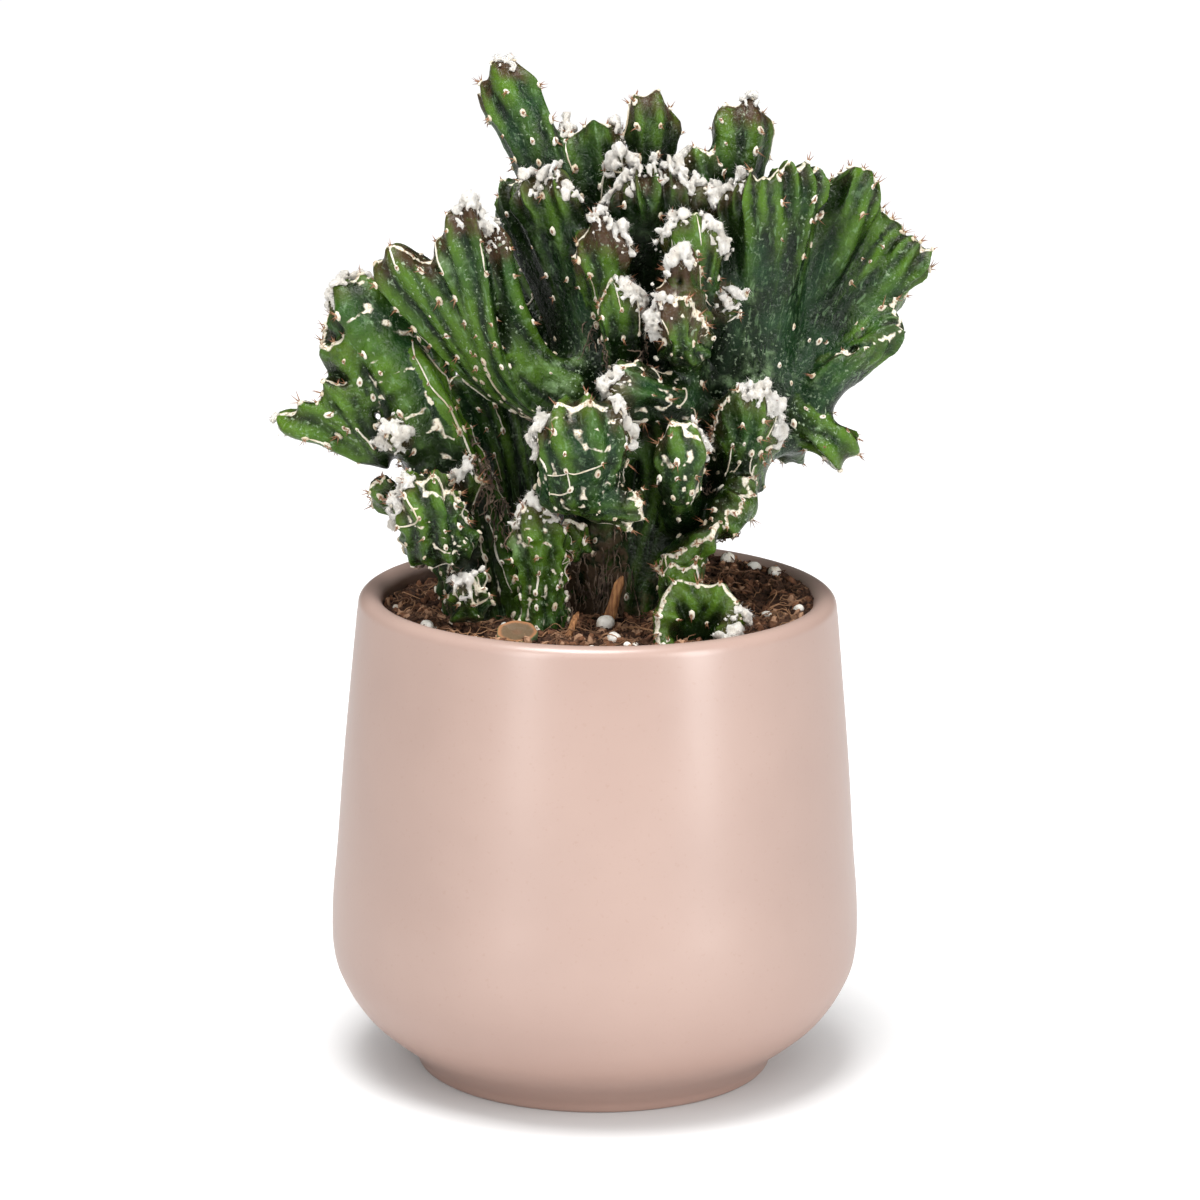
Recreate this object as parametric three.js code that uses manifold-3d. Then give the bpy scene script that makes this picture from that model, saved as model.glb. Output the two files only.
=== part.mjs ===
// Potted crested monvillea: a fan-shaped, ribbed cactus standing in soil in a round pink glazed pot.
// Millimetres, +Z up. The origin is the middle of the pot's foot. The front of the plant faces -Y.
import * as THREE from 'three';
import { mergeVertices } from 'three/addons/utils/BufferGeometryUtils.js';
import Module from 'manifold-3d';

const wasm = await Module();
wasm.setup();

// Pot
const POT_HEIGHT = 124.5;
const POT_WALL = 6.1;
const POT_SIDES = 36;
const FOOT_RADIUS = 45.9;
const FOOT_EDGE = 1.2;
const FOOT_RECESS_RADIUS = 38;
const FOOT_RECESS_DEPTH = 1.5;
const RIM_ROUND = 3.06;
const RIM_MIDDLE_RADIUS = 58.04;
// Radius and height of the outer wall, from the fillet above the foot to just under the rim.
const OUTER_WALL = [
  [50, 6.5], [54.5, 10], [59.1, 14], [62.3, 18], [64.7, 22], [66.9, 27], [67.8, 32], [68, 38],
  [67.6, 47], [66.6, 58], [65, 80], [63.2, 100], [61.4, 119],
];
const INNER_WALL = [
  [40, 10], [50, 13], [56.6, 19], [60.4, 27], [61.8, 37], [61.5, 47], [60.5, 58], [58.9, 80],
  [57.1, 100], [55.3, 119],
];
const POT_FLOOR = 9;

// Soil
const GAP = 0.3;
const SOIL_TOP = 119;
const SOIL_BOTTOM = POT_FLOOR + 1;
const SOIL_EDGE_RADIUS = 54.3;
const SOIL_RINGS = 6;
const CRUMB_HEIGHT = 0.7;
const SEAT_FLOOR = 107;
const SEAT_DEPTH = 25;
const SEAT_SIDES = 12;
const ROOT_DEPTH = 24;
const ROOT_IN_FOOT = 7;
const ROOT_SIDES = 8;

// Plant
const AREOLE_SPACING = 8;
const ROW_SPACING = 13;
const LIP_ROW = 0.9;
const AREOLE_HEIGHT = 0.6;
const RIB_DEPTH = 1.9;
const SPINE_LENGTH = 3.2;
const SPINE_RADIUS = 0.42;
const SPINE_ROOT = 1.1;
const WOOL_HEIGHT = 1.6;
const NODE_CLEARANCE = 0.4;

const COLOURS = {
  glaze: 0xd9b0a4,
  earth: 0x4a3226,
  green: 0x3d6b3a,
  perlite: 0xe8e4da,
  bark: 0x9a6238,
};

// The same sequence of random numbers on every run.
function seededRandom(seed) {
  let state = seed >>> 0;
  return () => {
    state = (Math.imul(state, 1664525) + 1013904223) >>> 0;
    return state / 4294967296;
  };
}

function toSolid(geometry) {
  const bare = geometry.clone();
  bare.deleteAttribute('normal');
  bare.deleteAttribute('uv');
  const merged = mergeVertices(bare, 1e-4);
  return new wasm.Manifold(new wasm.Mesh({
    numProp: 3,
    vertProperties: new Float32Array(merged.attributes.position.array),
    triVerts: new Uint32Array(merged.index.array),
  }));
}

function toGeometry(solid) {
  const mesh = solid.getMesh();
  const geometry = new THREE.BufferGeometry();
  geometry.setAttribute('position', new THREE.BufferAttribute(new Float32Array(mesh.vertProperties), 3));
  geometry.setIndex(new THREE.BufferAttribute(new Uint32Array(mesh.triVerts), 1));
  geometry.computeVertexNormals();
  return geometry;
}

// The largest body alone: loose scraps and the walls of sealed hollows are dropped.
function largestBody(solid) {
  const bodies = solid.decompose();
  return bodies.reduce((best, body) => (body.volume() > best.volume() ? body : best));
}

function finish(colour, roughness) {
  return new THREE.MeshStandardMaterial({ color: colour, roughness, metalness: 0 });
}

// A smooth, repeatable unevenness made of a few crossed waves, from -1 to 1.
function waviness(x, y, z) {
  return (Math.sin(1.7 * x + 2.3 * y) + Math.sin(2.9 * y - 1.3 * z) + Math.sin(2.1 * z + 1.1 * x)) / 3;
}

// Pot: one shell with a rounded rim, a short foot and a shallow recess under it.
function smoothOutline(points, count) {
  const curve = new THREE.SplineCurve(points.map(([r, z]) => new THREE.Vector2(r, z)));
  return curve.getPoints(count);
}

function makePot() {
  const rimHeight = POT_HEIGHT - RIM_ROUND;
  const outline = [
    new THREE.Vector2(0, FOOT_RECESS_DEPTH),
    new THREE.Vector2(FOOT_RECESS_RADIUS - 1, FOOT_RECESS_DEPTH),
    new THREE.Vector2(FOOT_RECESS_RADIUS, 0),
    new THREE.Vector2(FOOT_RADIUS - FOOT_EDGE, 0),
    new THREE.Vector2(FOOT_RADIUS, FOOT_EDGE),
    new THREE.Vector2(FOOT_RADIUS + 1, 3.2),
    ...smoothOutline(OUTER_WALL, 10),
  ];
  for (let step = 0; step <= 4; step += 1) {
    const angle = (Math.PI * step) / 4;
    outline.push(new THREE.Vector2(
      RIM_MIDDLE_RADIUS + RIM_ROUND * Math.cos(angle),
      rimHeight + RIM_ROUND * Math.sin(angle),
    ));
  }
  outline.push(...smoothOutline(INNER_WALL, 5).reverse());
  outline.push(new THREE.Vector2(0, POT_FLOOR));
  return toSolid(new THREE.LatheGeometry(outline, POT_SIDES).rotateX(Math.PI / 2));
}

// Stems: every limb is a sheet of growth lines that leave a narrow foot and end on a growing crest.
// t runs across the sheet from -1 to 1, s runs along it from the foot at 0 to the crest at 1.
function makeSheet(limb) {
  const base = new THREE.Vector3(...limb.base);
  const rise = new THREE.Vector3(...limb.rise).normalize();
  const crestPoints = limb.crest.map((p) => new THREE.Vector3(...p));
  const crest = new THREE.CatmullRomCurve3(crestPoints, false, 'catmullrom', 0.5);
  const across = crest.getPoint(1).sub(crest.getPoint(0));
  across.addScaledVector(rise, -across.dot(rise)).normalize();
  const middle = crest.getPointAt(0.5);
  const hub = base.clone().addScaledVector(rise, base.distanceTo(middle) * 0.3);
  return (t, s) => {
    const start = base.clone().addScaledVector(across, t * limb.foot[0]);
    const end = crest.getPointAt(THREE.MathUtils.clamp((t + 1) / 2, 0, 1));
    const reach = start.distanceTo(end);
    const arrive = end.clone().sub(hub).normalize();
    const leave = start.clone().addScaledVector(rise, reach * 0.38);
    const near = end.clone().addScaledVector(arrive, -reach * 0.34);
    const r = 1 - s;
    return start.multiplyScalar(r * r * r)
      .addScaledVector(leave, 3 * r * r * s)
      .addScaledVector(near, 3 * r * s * s)
      .addScaledVector(end, s * s * s);
  };
}

// The smooth skin over a sheet. u runs round it, front face first, and the lip closes in a half round.
function makeSkin(limb) {
  const sheet = makeSheet(limb);
  const length = sheet(0, 0).distanceTo(sheet(0, 1));
  const width = sheet(-1, 1).distanceTo(sheet(1, 1));
  const flatness = THREE.MathUtils.clamp(width / (6 * limb.lip) - 0.25, 0, 0.85);
  const lipStart = 1 - Math.min(0.45, (1.15 * limb.lip) / length);
  const [, footThickness] = limb.foot;
  return (u, s) => {
    const turn = 2 * Math.PI * u;
    const ramp = u <= 0.5 ? 1 - 4 * u : 4 * u - 3;
    const t = THREE.MathUtils.lerp(Math.cos(turn), ramp, flatness);
    const bulge = Math.sqrt(Math.max(0, 1 - Math.abs(t) ** (2 + 2 * flatness))) * (u <= 0.5 ? 1 : -1);
    const closing = Math.max(0, (s - lipStart) / (1 - lipStart));
    const thickness = THREE.MathUtils.lerp(footThickness, limb.lip, Math.min(1, s / lipStart) ** 0.9)
      * Math.sqrt(Math.max(0, 1 - closing * closing));
    const step = 0.02;
    const along = sheet(t, Math.min(1, s + step)).sub(sheet(t, Math.max(0, s - step)));
    const over = sheet(Math.min(1, t + step), s).sub(sheet(Math.max(-1, t - step), s));
    const normal = over.cross(along).normalize();
    return sheet(t, s).addScaledVector(normal, thickness * bulge);
  };
}

// Outward direction of the skin; on the lip it turns over into the direction of growth.
function outward(skin, u, s, growth) {
  const step = 0.012;
  const wrap = (value) => (value + 1) % 1;
  const low = Math.max(0, s - step);
  const high = Math.min(1, s + step);
  const round = skin(wrap(u + step), s).sub(skin(wrap(u - step), s));
  const along = skin(u, high).sub(skin(u, low));
  const side = along.cross(round).normalize();
  const turnOver = THREE.MathUtils.smoothstep(s, 0.9, 1);
  return side.multiplyScalar(1 - turnOver).addScaledVector(growth, turnOver).normalize();
}

// The rows of one limb: points round the skin, pushed out on each rib and in between the ribs.
function limbRows(limb, grow = 0) {
  const sheet = makeSheet(limb);
  const skin = makeSkin(limb);
  const length = sheet(0, 0).distanceTo(sheet(0, 1));
  const count = limb.ribs * 2;
  const inner = Math.max(2, Math.round(length / ROW_SPACING));
  const heights = [];
  for (let row = 0; row <= inner; row += 1) heights.push((row / inner) * LIP_ROW);
  heights.push(1);
  return heights.map((s, row) => {
    const points = [];
    const reach = s === 1 ? count / 2 : count - 1;
    for (let k = 0; k <= reach; k += 1) {
      const u = k / count;
      const t = Math.cos(2 * Math.PI * u);
      const growth = sheet(t, 1).sub(sheet(t, 0.94)).normalize();
      const spacing = skin((u + 1 / count) % 1, s).distanceTo(skin((u + 1 - 1 / count) % 1, s));
      const depth = Math.min(RIB_DEPTH, 0.42 * spacing);
      const onRib = k % 2 === 0;
      const areole = onRib && s > 0.15 && s < 1 && (row + k / 2) % 2 === 0 ? AREOLE_HEIGHT : 0;
      const lumps = 0.75 + 0.5 * waviness(9 * k, 7 * s, row);
      const wool = woolOn(limb, t, s) * WOOL_HEIGHT * lumps;
      const rise = (onRib ? 0.5 : -0.5) * depth + areole + wool + grow;
      const point = skin(u, s).addScaledVector(outward(skin, u, s, growth), rise);
      if (s === 0) point.addScaledVector(growth, -grow);
      points.push(point);
    }
    return points;
  });
}

// How thick the wool lies on a limb, from 0 to 1: only near the crest, on the stated stretches of it.
function woolOn(limb, t, s) {
  const inStretch = limb.wool.some(([from, to]) => t >= from - 0.05 && t <= to + 0.05);
  return inStretch ? THREE.MathUtils.smoothstep(s, 0.72, 0.96) : 0;
}

function limbGeometry(limb, grow = 0) {
  const rows = limbRows(limb, grow);
  const count = limb.ribs * 2;
  const positions = [];
  const index = [];
  const starts = rows.map((row) => {
    const start = positions.length / 3;
    row.forEach((p) => positions.push(p.x, p.y, p.z));
    return start;
  });
  const last = rows.length - 1;
  const at = (row, k) => {
    const turn = (k + count) % count;
    const folded = row === last && turn > count / 2 ? count - turn : turn;
    return starts[row] + folded;
  };
  const face = (a, b, c) => {
    if (a !== b && b !== c && c !== a) index.push(a, b, c);
  };
  for (let row = 0; row < last; row += 1) {
    for (let k = 0; k < count; k += 1) {
      const mirrored = k < count / 2;
      const [a, b, c, d] = [at(row, k), at(row, k + 1), at(row + 1, k + 1), at(row + 1, k)];
      if (mirrored) {
        face(a, c, b);
        face(a, d, c);
      } else {
        face(a, d, b);
        face(b, d, c);
      }
    }
  }
  const foot = positions.length / 3;
  positions.push(...limb.base);
  for (let k = 0; k < count; k += 1) face(foot, at(0, k), at(0, k + 1));
  const geometry = new THREE.BufferGeometry();
  geometry.setAttribute('position', new THREE.Float32BufferAttribute(positions, 3));
  geometry.setIndex(index);
  return geometry;
}

// Limbs: base is the middle of the foot and rise the way it leaves; foot is its half width and half
// thickness; lip is the half thickness near the crest; wool lists stretches of the crest (-1 to 1).
const LEFT_LIMBS = [
  {
    name: 'tall_column',
    base: [-30, -4, 112], rise: [-0.26, 0, 1], foot: [10.5, 10], lip: 6.5, ribs: 10,
    crest: [[-68, -1, 198], [-64, -6, 206], [-59, -6, 206], [-53, 0, 198]],
    wool: [[-0.8, 0.9]],
  },
  {
    name: 'upper_left_lobe',
    base: [-51, -3, 174], rise: [-0.8, -0.2, 0.6], foot: [5.5, 4.5], lip: 4, ribs: 8,
    crest: [[-72, -4, 186], [-70, -8, 192], [-64, -10, 194], [-58, -5, 190]],
    wool: [[-1, -0.2]],
  },
  {
    name: 'middle_left_lobe',
    base: [-53, -5, 168], rise: [-0.9, -0.3, 0.3], foot: [4.5, 3.5], lip: 3.5, ribs: 6,
    crest: [[-71, -4, 172], [-70, -9, 178], [-63, -12, 181]],
    wool: [],
  },
  {
    name: 'pointing_left_stub',
    base: [-51, -2, 160], rise: [-1, 0, 0.25], foot: [6, 5.5], lip: 4, ribs: 8,
    crest: [[-80, 0, 165], [-80, -3, 171], [-74, -5, 174], [-70, -5, 174]],
    wool: [],
  },
  {
    name: 'lower_left_stub',
    base: [-45, -4, 149], rise: [-0.9, -0.3, 0.2], foot: [4.5, 3.5], lip: 4, ribs: 6,
    crest: [[-58, -6, 149], [-58, -9, 154], [-54, -11, 158]],
    wool: [],
  },
  {
    name: 'woolly_knob',
    base: [-47, -4, 161], rise: [-0.3, -1, 0.3], foot: [3.5, 3.5], lip: 3.5, ribs: 6,
    crest: [[-55, -15, 165], [-52, -18, 170], [-48, -16, 168]],
    wool: [[-1, 1]],
  },
  {
    name: 'low_woolly_stub',
    base: [-35, -10, 127], rise: [-0.35, -0.5, 0.8], foot: [8, 7.5], lip: 7, ribs: 8,
    crest: [[-48, -22, 148], [-47, -27, 156], [-41, -28, 157], [-36, -24, 151]],
    wool: [[-0.8, 0.6]],
  },
  {
    name: 'back_left_stub',
    base: [-36, 6, 158], rise: [-0.3, 0.8, 0.5], foot: [4.5, 4.5], lip: 4.5, ribs: 8,
    crest: [[-54, 22, 178], [-48, 30, 188], [-38, 28, 186]],
    wool: [[-0.5, 0.7]],
  },
];
const MAIN_LIMBS = [
  {
    name: 'woody_trunk',
    base: [0, 2, 112], rise: [0, 0, 1], foot: [9, 8], lip: 10, ribs: 8,
    crest: [[-10, 0, 171], [0, 0, 175], [10, 0, 172]],
    wool: [],
  },
  {
    name: 'right_trunk',
    base: [14, 3, 112], rise: [0.05, 0, 1], foot: [12, 9], lip: 9, ribs: 8,
    crest: [[20, 0, 167], [32, 0, 171], [42, 2, 166]],
    wool: [],
  },
  {
    name: 'right_fan_front',
    base: [38, 0, 160], rise: [-0.1, -0.1, 1], foot: [13, 9], lip: 3.6, ribs: 12,
    crest: [[30, -5, 228], [36, -11, 234], [44, -12, 237], [51, -8, 235], [56, 0, 229]],
    wool: [[-1, -0.5]],
  },
  {
    name: 'right_fan_back',
    base: [41, 4, 163], rise: [0.3, 0, 1], foot: [13, 9], lip: 3.6, ribs: 16,
    crest: [[53, 8, 225], [57, 5, 232], [64, 1, 235], [69, 1, 231], [71, 8, 221], [76, 5, 219],
      [80, 0, 215], [82, 3, 208]],
    wool: [],
  },
  {
    name: 'right_fan_low',
    base: [39, 0, 170], rise: [1, -0.1, 0.2], foot: [12, 8], lip: 3.6, ribs: 10,
    crest: [[78, 6, 206], [78, -1, 200], [75, -8, 193], [71, -9, 188], [64, -5, 182], [59, 3, 176]],
    wool: [],
  },
  {
    name: 'low_right_finger',
    base: [45, -3, 173], rise: [0.6, -0.1, -0.6], foot: [4.5, 4], lip: 5, ribs: 8,
    crest: [[55, -7, 160], [59, -8, 157], [63, -7, 160], [64, -5, 164]],
    wool: [],
  },
  {
    name: 'dark_stub',
    base: [42, 8, 164], rise: [0.8, 0.1, -0.3], foot: [4, 3.5], lip: 3.5, ribs: 6,
    crest: [[48, 10, 156], [53, 10, 157], [54, 10, 161]],
    wool: [],
  },
  {
    name: 'left_fan',
    base: [-2, -2, 177], rise: [-1, 0, -0.22], foot: [11, 9], lip: 4.2, ribs: 14,
    crest: [[-54, -6, 204], [-53, -13, 212], [-49, -17, 216], [-44, -15, 214], [-40, -17, 220],
      [-34, -18, 226], [-28, -15, 227], [-25, -8, 222]],
    wool: [[-0.62, -0.2], [0.45, 0.95]],
  },
  {
    name: 'centre_left_fan',
    base: [1, -1, 169], rise: [-0.15, -0.05, 1], foot: [9, 8], lip: 4.4, ribs: 10,
    crest: [[-24, 1, 215], [-22, -5, 225], [-16, -12, 232], [-10, -13, 231], [-6, -8, 223]],
    wool: [[-0.25, 0.75]],
  },
  {
    name: 'centre_fan',
    base: [12, 2, 169], rise: [0, 0, 1], foot: [9, 8], lip: 4.8, ribs: 12,
    crest: [[3, -2, 223], [5, -8, 231], [12, -10, 235], [19, -8, 232], [22, -3, 223]],
    wool: [[-0.8, 0.8]],
  },
  {
    name: 'top_left_finger',
    base: [-10, 8, 206], rise: [-0.12, 0, 1], foot: [8, 7], lip: 5, ribs: 8,
    crest: [[-29, 12, 252], [-27, 11, 258], [-23, 11, 259], [-19, 12, 254]],
    wool: [[-0.6, 0.6]],
  },
  {
    name: 'top_left_knob',
    base: [-13, 10, 218], rise: [0.2, 0, 1], foot: [3, 3], lip: 2.4, ribs: 6,
    crest: [[-10, 11, 240], [-9, 11, 243], [-7, 11, 241]],
    wool: [],
  },
  {
    name: 'top_small_fan',
    base: [0, 8, 201], rise: [-0.05, 0, 1], foot: [7, 6], lip: 3.6, ribs: 10,
    crest: [[-8, 10, 238], [-5, 8, 243], [1, 8, 244], [6, 10, 240]],
    wool: [[0.2, 1]],
  },
  {
    name: 'top_middle_finger',
    base: [11, 10, 213], rise: [0, 0, 1], foot: [6, 6], lip: 4.4, ribs: 8,
    crest: [[5, 9, 246], [7, 9, 250], [13, 9, 251], [18, 10, 248], [19, 12, 242]],
    wool: [[-0.6, 0.2]],
  },
  {
    name: 'top_right_finger',
    base: [35, 8, 206], rise: [0, 0, 1], foot: [6, 6], lip: 5.4, ribs: 8,
    crest: [[29, 10, 243], [31, 8, 247], [37, 8, 249], [41, 10, 246], [42, 12, 242]],
    wool: [[-0.4, 0.5]],
  },
  {
    name: 'top_little_fan',
    base: [25, 6, 209], rise: [0, 0, 1], foot: [4, 3.5], lip: 3, ribs: 8,
    crest: [[18, 4, 232], [22, 2, 238], [27, 2, 238], [29, 4, 232]],
    wool: [[-0.9, 0.2]],
  },
  {
    name: 'upper_woolly_crest',
    base: [23, -5, 191], rise: [0, -0.5, 1], foot: [5.5, 4.5], lip: 4.2, ribs: 6,
    crest: [[15, -15, 220], [19, -18, 226], [25, -18, 225], [31, -15, 218]],
    wool: [[-1, 1]],
  },
  {
    name: 'middle_woolly_crest',
    base: [21, -9, 190], rise: [-0.1, -0.7, 1], foot: [4, 3.5], lip: 3.6, ribs: 6,
    crest: [[16, -22, 211], [19, -25, 217], [24, -23, 213]],
    wool: [[-1, 1]],
  },
  {
    name: 'side_woolly_crest',
    base: [26, 0, 213], rise: [0, -0.2, 1], foot: [4, 3.5], lip: 3.2, ribs: 6,
    crest: [[21, -4, 228], [25, -7, 233], [31, -4, 229]],
    wool: [[-1, 1]],
  },
  {
    name: 'middle_stub',
    base: [4, -5, 193], rise: [-0.2, -0.6, 1], foot: [5.5, 5], lip: 5.6, ribs: 8,
    crest: [[-7, -16, 213], [-4, -20, 221], [2, -21, 223], [7, -17, 216]],
    wool: [[-0.7, 0.9]],
  },
  {
    name: 'middle_low_crest',
    base: [7, -8, 182], rise: [-0.1, -0.8, 0.8], foot: [5, 4.5], lip: 4.6, ribs: 6,
    crest: [[-1, -20, 200], [1, -23, 207], [7, -23, 208], [12, -20, 202]],
    wool: [[-0.6, 0.6]],
  },
  {
    name: 'round_ball',
    base: [23, -6, 177], rise: [-0.3, -0.9, 0.5], foot: [6, 6], lip: 8.4, ribs: 8,
    crest: [[12, -27, 196], [14, -31, 202], [21, -31, 203], [25, -26, 196]],
    wool: [[-0.9, 0.2]],
  },
  {
    name: 'leaning_left_stub',
    base: [24, -8, 171], rise: [-0.8, -0.6, 0.1], foot: [6, 6], lip: 7, ribs: 8,
    crest: [[3, -29, 179], [3, -33, 185], [7, -34, 187], [12, -32, 185]],
    wool: [[-1, 0.2]],
  },
  {
    name: 'front_mitten',
    base: [-3, -8, 146], rise: [0, -0.8, 0.45], foot: [8, 8], lip: 10.5, ribs: 10,
    crest: [[-14, -35, 169], [-12, -40, 176], [-5, -43, 179], [3, -41, 178], [7, -35, 171]],
    wool: [[-1, -0.1], [0.3, 0.9]],
  },
  {
    name: 'front_right_stub',
    base: [23, -8, 143], rise: [-0.1, -0.7, 0.7], foot: [6, 6], lip: 7.6, ribs: 8,
    crest: [[16, -31, 163], [17, -35, 171], [23, -35, 172], [27, -30, 165]],
    wool: [[0, 0.8]],
  },
  {
    name: 'right_low_crest',
    base: [35, -6, 152], rise: [0.1, -0.5, 1], foot: [6, 5], lip: 5, ribs: 10,
    crest: [[29, -17, 170], [31, -22, 178], [36, -24, 181], [41, -22, 178], [43, -16, 169]],
    wool: [[-0.6, 0.9]],
  },
  {
    name: 'right_low_lobes',
    base: [27, -8, 145], rise: [0.7, -0.5, 0.2], foot: [5.5, 4.5], lip: 4.6, ribs: 6,
    crest: [[31, -20, 145], [36, -24, 149], [40, -22, 153], [42, -16, 159]],
    wool: [],
  },
  {
    name: 'pointed_lobe',
    base: [17, -10, 132], rise: [0.5, -0.4, 0.7], foot: [4.5, 3.5], lip: 3.4, ribs: 6,
    crest: [[26, -22, 141], [31, -24, 144], [33, -22, 147]],
    wool: [],
  },
  {
    name: 'little_trunk_lobe',
    base: [0, -4, 132], rise: [-0.5, -0.5, 0.7], foot: [4, 3.5], lip: 3.6, ribs: 6,
    crest: [[-10, -12, 137], [-9, -15, 144], [-4, -13, 143]],
    wool: [],
  },
  {
    name: 'back_low_stub',
    base: [18, 4, 142], rise: [0.1, 1, 0.3], foot: [6, 5], lip: 5.4, ribs: 8,
    crest: [[4, 38, 150], [10, 46, 162], [24, 48, 164], [34, 40, 154]],
    wool: [[-0.6, 0.7]],
  },
  {
    name: 'back_left_fan',
    base: [-6, 4, 160], rise: [-0.2, 0.6, 1], foot: [6, 5], lip: 4.2, ribs: 8,
    crest: [[-32, 18, 186], [-28, 30, 204], [-12, 36, 210], [2, 30, 202]],
    wool: [[-0.4, 0.8]],
  },
  {
    name: 'back_left_trunk',
    base: [-13, 12, 112], rise: [-0.1, 0.1, 1], foot: [9, 8], lip: 6, ribs: 8,
    crest: [[-40, 12, 175], [-32, 16, 181], [-22, 18, 184], [-10, 14, 182]],
    wool: [],
  },
  {
    name: 'back_middle_stub',
    base: [6, 6, 158], rise: [0.1, 1, 0.5], foot: [5.5, 5], lip: 5.6, ribs: 8,
    crest: [[-12, 38, 172], [-2, 46, 182], [12, 46, 184], [20, 36, 174]],
    wool: [[-0.8, 0.6]],
  },
  {
    name: 'back_upper_fan',
    base: [16, 6, 184], rise: [0.1, 0.5, 1], foot: [5.5, 5], lip: 4.2, ribs: 8,
    crest: [[4, 20, 212], [12, 32, 224], [26, 34, 226], [36, 24, 214]],
    wool: [[-0.7, 0.5]],
  },
  {
    name: 'back_right_stub',
    base: [38, 4, 166], rise: [0.5, 0.8, 0.4], foot: [5.5, 5], lip: 5, ribs: 6,
    crest: [[38, 30, 176], [46, 38, 188], [60, 36, 190], [68, 26, 182]],
    wool: [[-0.5, 0.8]],
  },
];
const OFFSET_LIMBS = [
  {
    name: 'front_finger',
    base: [-14, -14, 112], rise: [0, 0, 1], foot: [6.5, 6], lip: 5.8, ribs: 8,
    crest: [[-21, -19, 145], [-20, -22, 151], [-14, -22, 152], [-10, -18, 144]],
    wool: [[-0.7, 0.7]],
  },
];
const SOIL_CREST_LIMBS = [
  {
    name: 'spiral_crest',
    base: [24, -16, 112], rise: [0, -0.1, 1], foot: [9, 8], lip: 5.4, ribs: 14,
    crest: [[14, -20, 125], [15, -26, 134], [21, -26, 138], [29, -28, 137], [34, -29, 131],
      [35, -28, 124]],
    wool: [],
  },
];

// Each stem: its limbs, its roots (x, y, root radius, radius of the seat for the foot), its seed.
const STEMS = [
  {
    name: 'stem_main', limbs: MAIN_LIMBS, seed: 11,
    roots: [[0, 2, 6, 12], [14, 3, 7, 15], [-13, 12, 6, 12]],
  },
  { name: 'stem_left', limbs: LEFT_LIMBS, roots: [[-30, -4, 7, 15.5]], seed: 23 },
  { name: 'front_offset', limbs: OFFSET_LIMBS, roots: [[-15, -14, 4, 9]], seed: 37 },
  { name: 'soil_crest', limbs: SOIL_CREST_LIMBS, roots: [[25, -18, 5, 13]], seed: 41 },
];

// A cut-off shoot: middle of its sawn face, its size, and the face's tilt towards the front in degrees.
const CUT_STUB = { face: [-21, -30, 121.5], radius: 5, length: 22, tilt: 22, sides: 14 };

// Perlite: x, y and radius of each grain.
const GRAINS = [
  [34, 38, 2.1], [41, 32, 1.8], [46, 24, 1.9], [2, -17, 2.2], [4, -30, 1.9],
  [-1, -40, 1.8], [-43, -20, 2.0], [-24, 36, 2.0],
];

// Wood: a bark splinter standing by the trunk, a twig.
const SPLINTERS = [
  { name: 'bark_splinter', from: [1, -12, 114], to: [6, -13, 131], width: 3.2, thickness: 1.4, sides: 6 },
  { name: 'twig', from: [-9, -29, 115], to: [-5, -22, 124], width: 2, thickness: 2, sides: 6 },
];
// Spines stand on the ribs, two in three areoles, their roots sunk well in.
function limbSpines(limb, random, grow = 0) {
  const sheet = makeSheet(limb);
  const skin = makeSkin(limb);
  const length = sheet(0, 0).distanceTo(sheet(0, 1));
  const rowCount = Math.max(2, Math.round(length / (1.6 * AREOLE_SPACING)));
  const spines = [];
  for (let rib = 0; rib < limb.ribs; rib += 1) {
    for (let row = 1; row <= rowCount; row += 1) {
      const draw = [random(), random(), random(), random()];
      const onLip = row === rowCount;
      const s = onLip ? 1 : 0.2 + (0.75 * (row - 0.5 + 0.5 * (rib % 2))) / rowCount;
      if (draw[0] > (onLip ? 0.26 : 0.06) || (onLip && rib > limb.ribs / 2)) continue;
      const u = rib / limb.ribs;
      const t = Math.cos(2 * Math.PI * u);
      const growth = sheet(t, 1).sub(sheet(t, 0.94)).normalize();
      const lean = new THREE.Vector3(draw[1] - 0.5, draw[2] - 0.5, draw[3] - 0.3).multiplyScalar(0.9);
      const direction = outward(skin, u, s, growth).add(lean).normalize();
      const place = skin(u, s).addScaledVector(outward(skin, u, s, growth), RIB_DEPTH * 0.3);
      spines.push(toSolid(spineGeometry(place, direction, grow)));
    }
  }
  return spines;
}

function spineGeometry(place, direction, grow) {
  const length = SPINE_LENGTH + SPINE_ROOT + grow;
  const cone = new THREE.ConeGeometry(SPINE_RADIUS + grow, length, 3, 1);
  cone.translate(0, length / 2 - SPINE_ROOT, 0);
  cone.applyQuaternion(new THREE.Quaternion().setFromUnitVectors(new THREE.Vector3(0, 1, 0), direction));
  cone.translate(place.x, place.y, place.z);
  return cone;
}

// The plain round roots that hold a stem in the soil.
function makeRoots(roots, grow = 0) {
  return roots.map(([x, y, radius]) => {
    const plug = new THREE.CylinderGeometry(radius + grow, radius + grow, ROOT_DEPTH, ROOT_SIDES);
    plug.rotateX(Math.PI / 2).translate(x, y, SEAT_FLOOR + ROOT_IN_FOOT - ROOT_DEPTH / 2);
    return toSolid(plug);
  });
}

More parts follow.
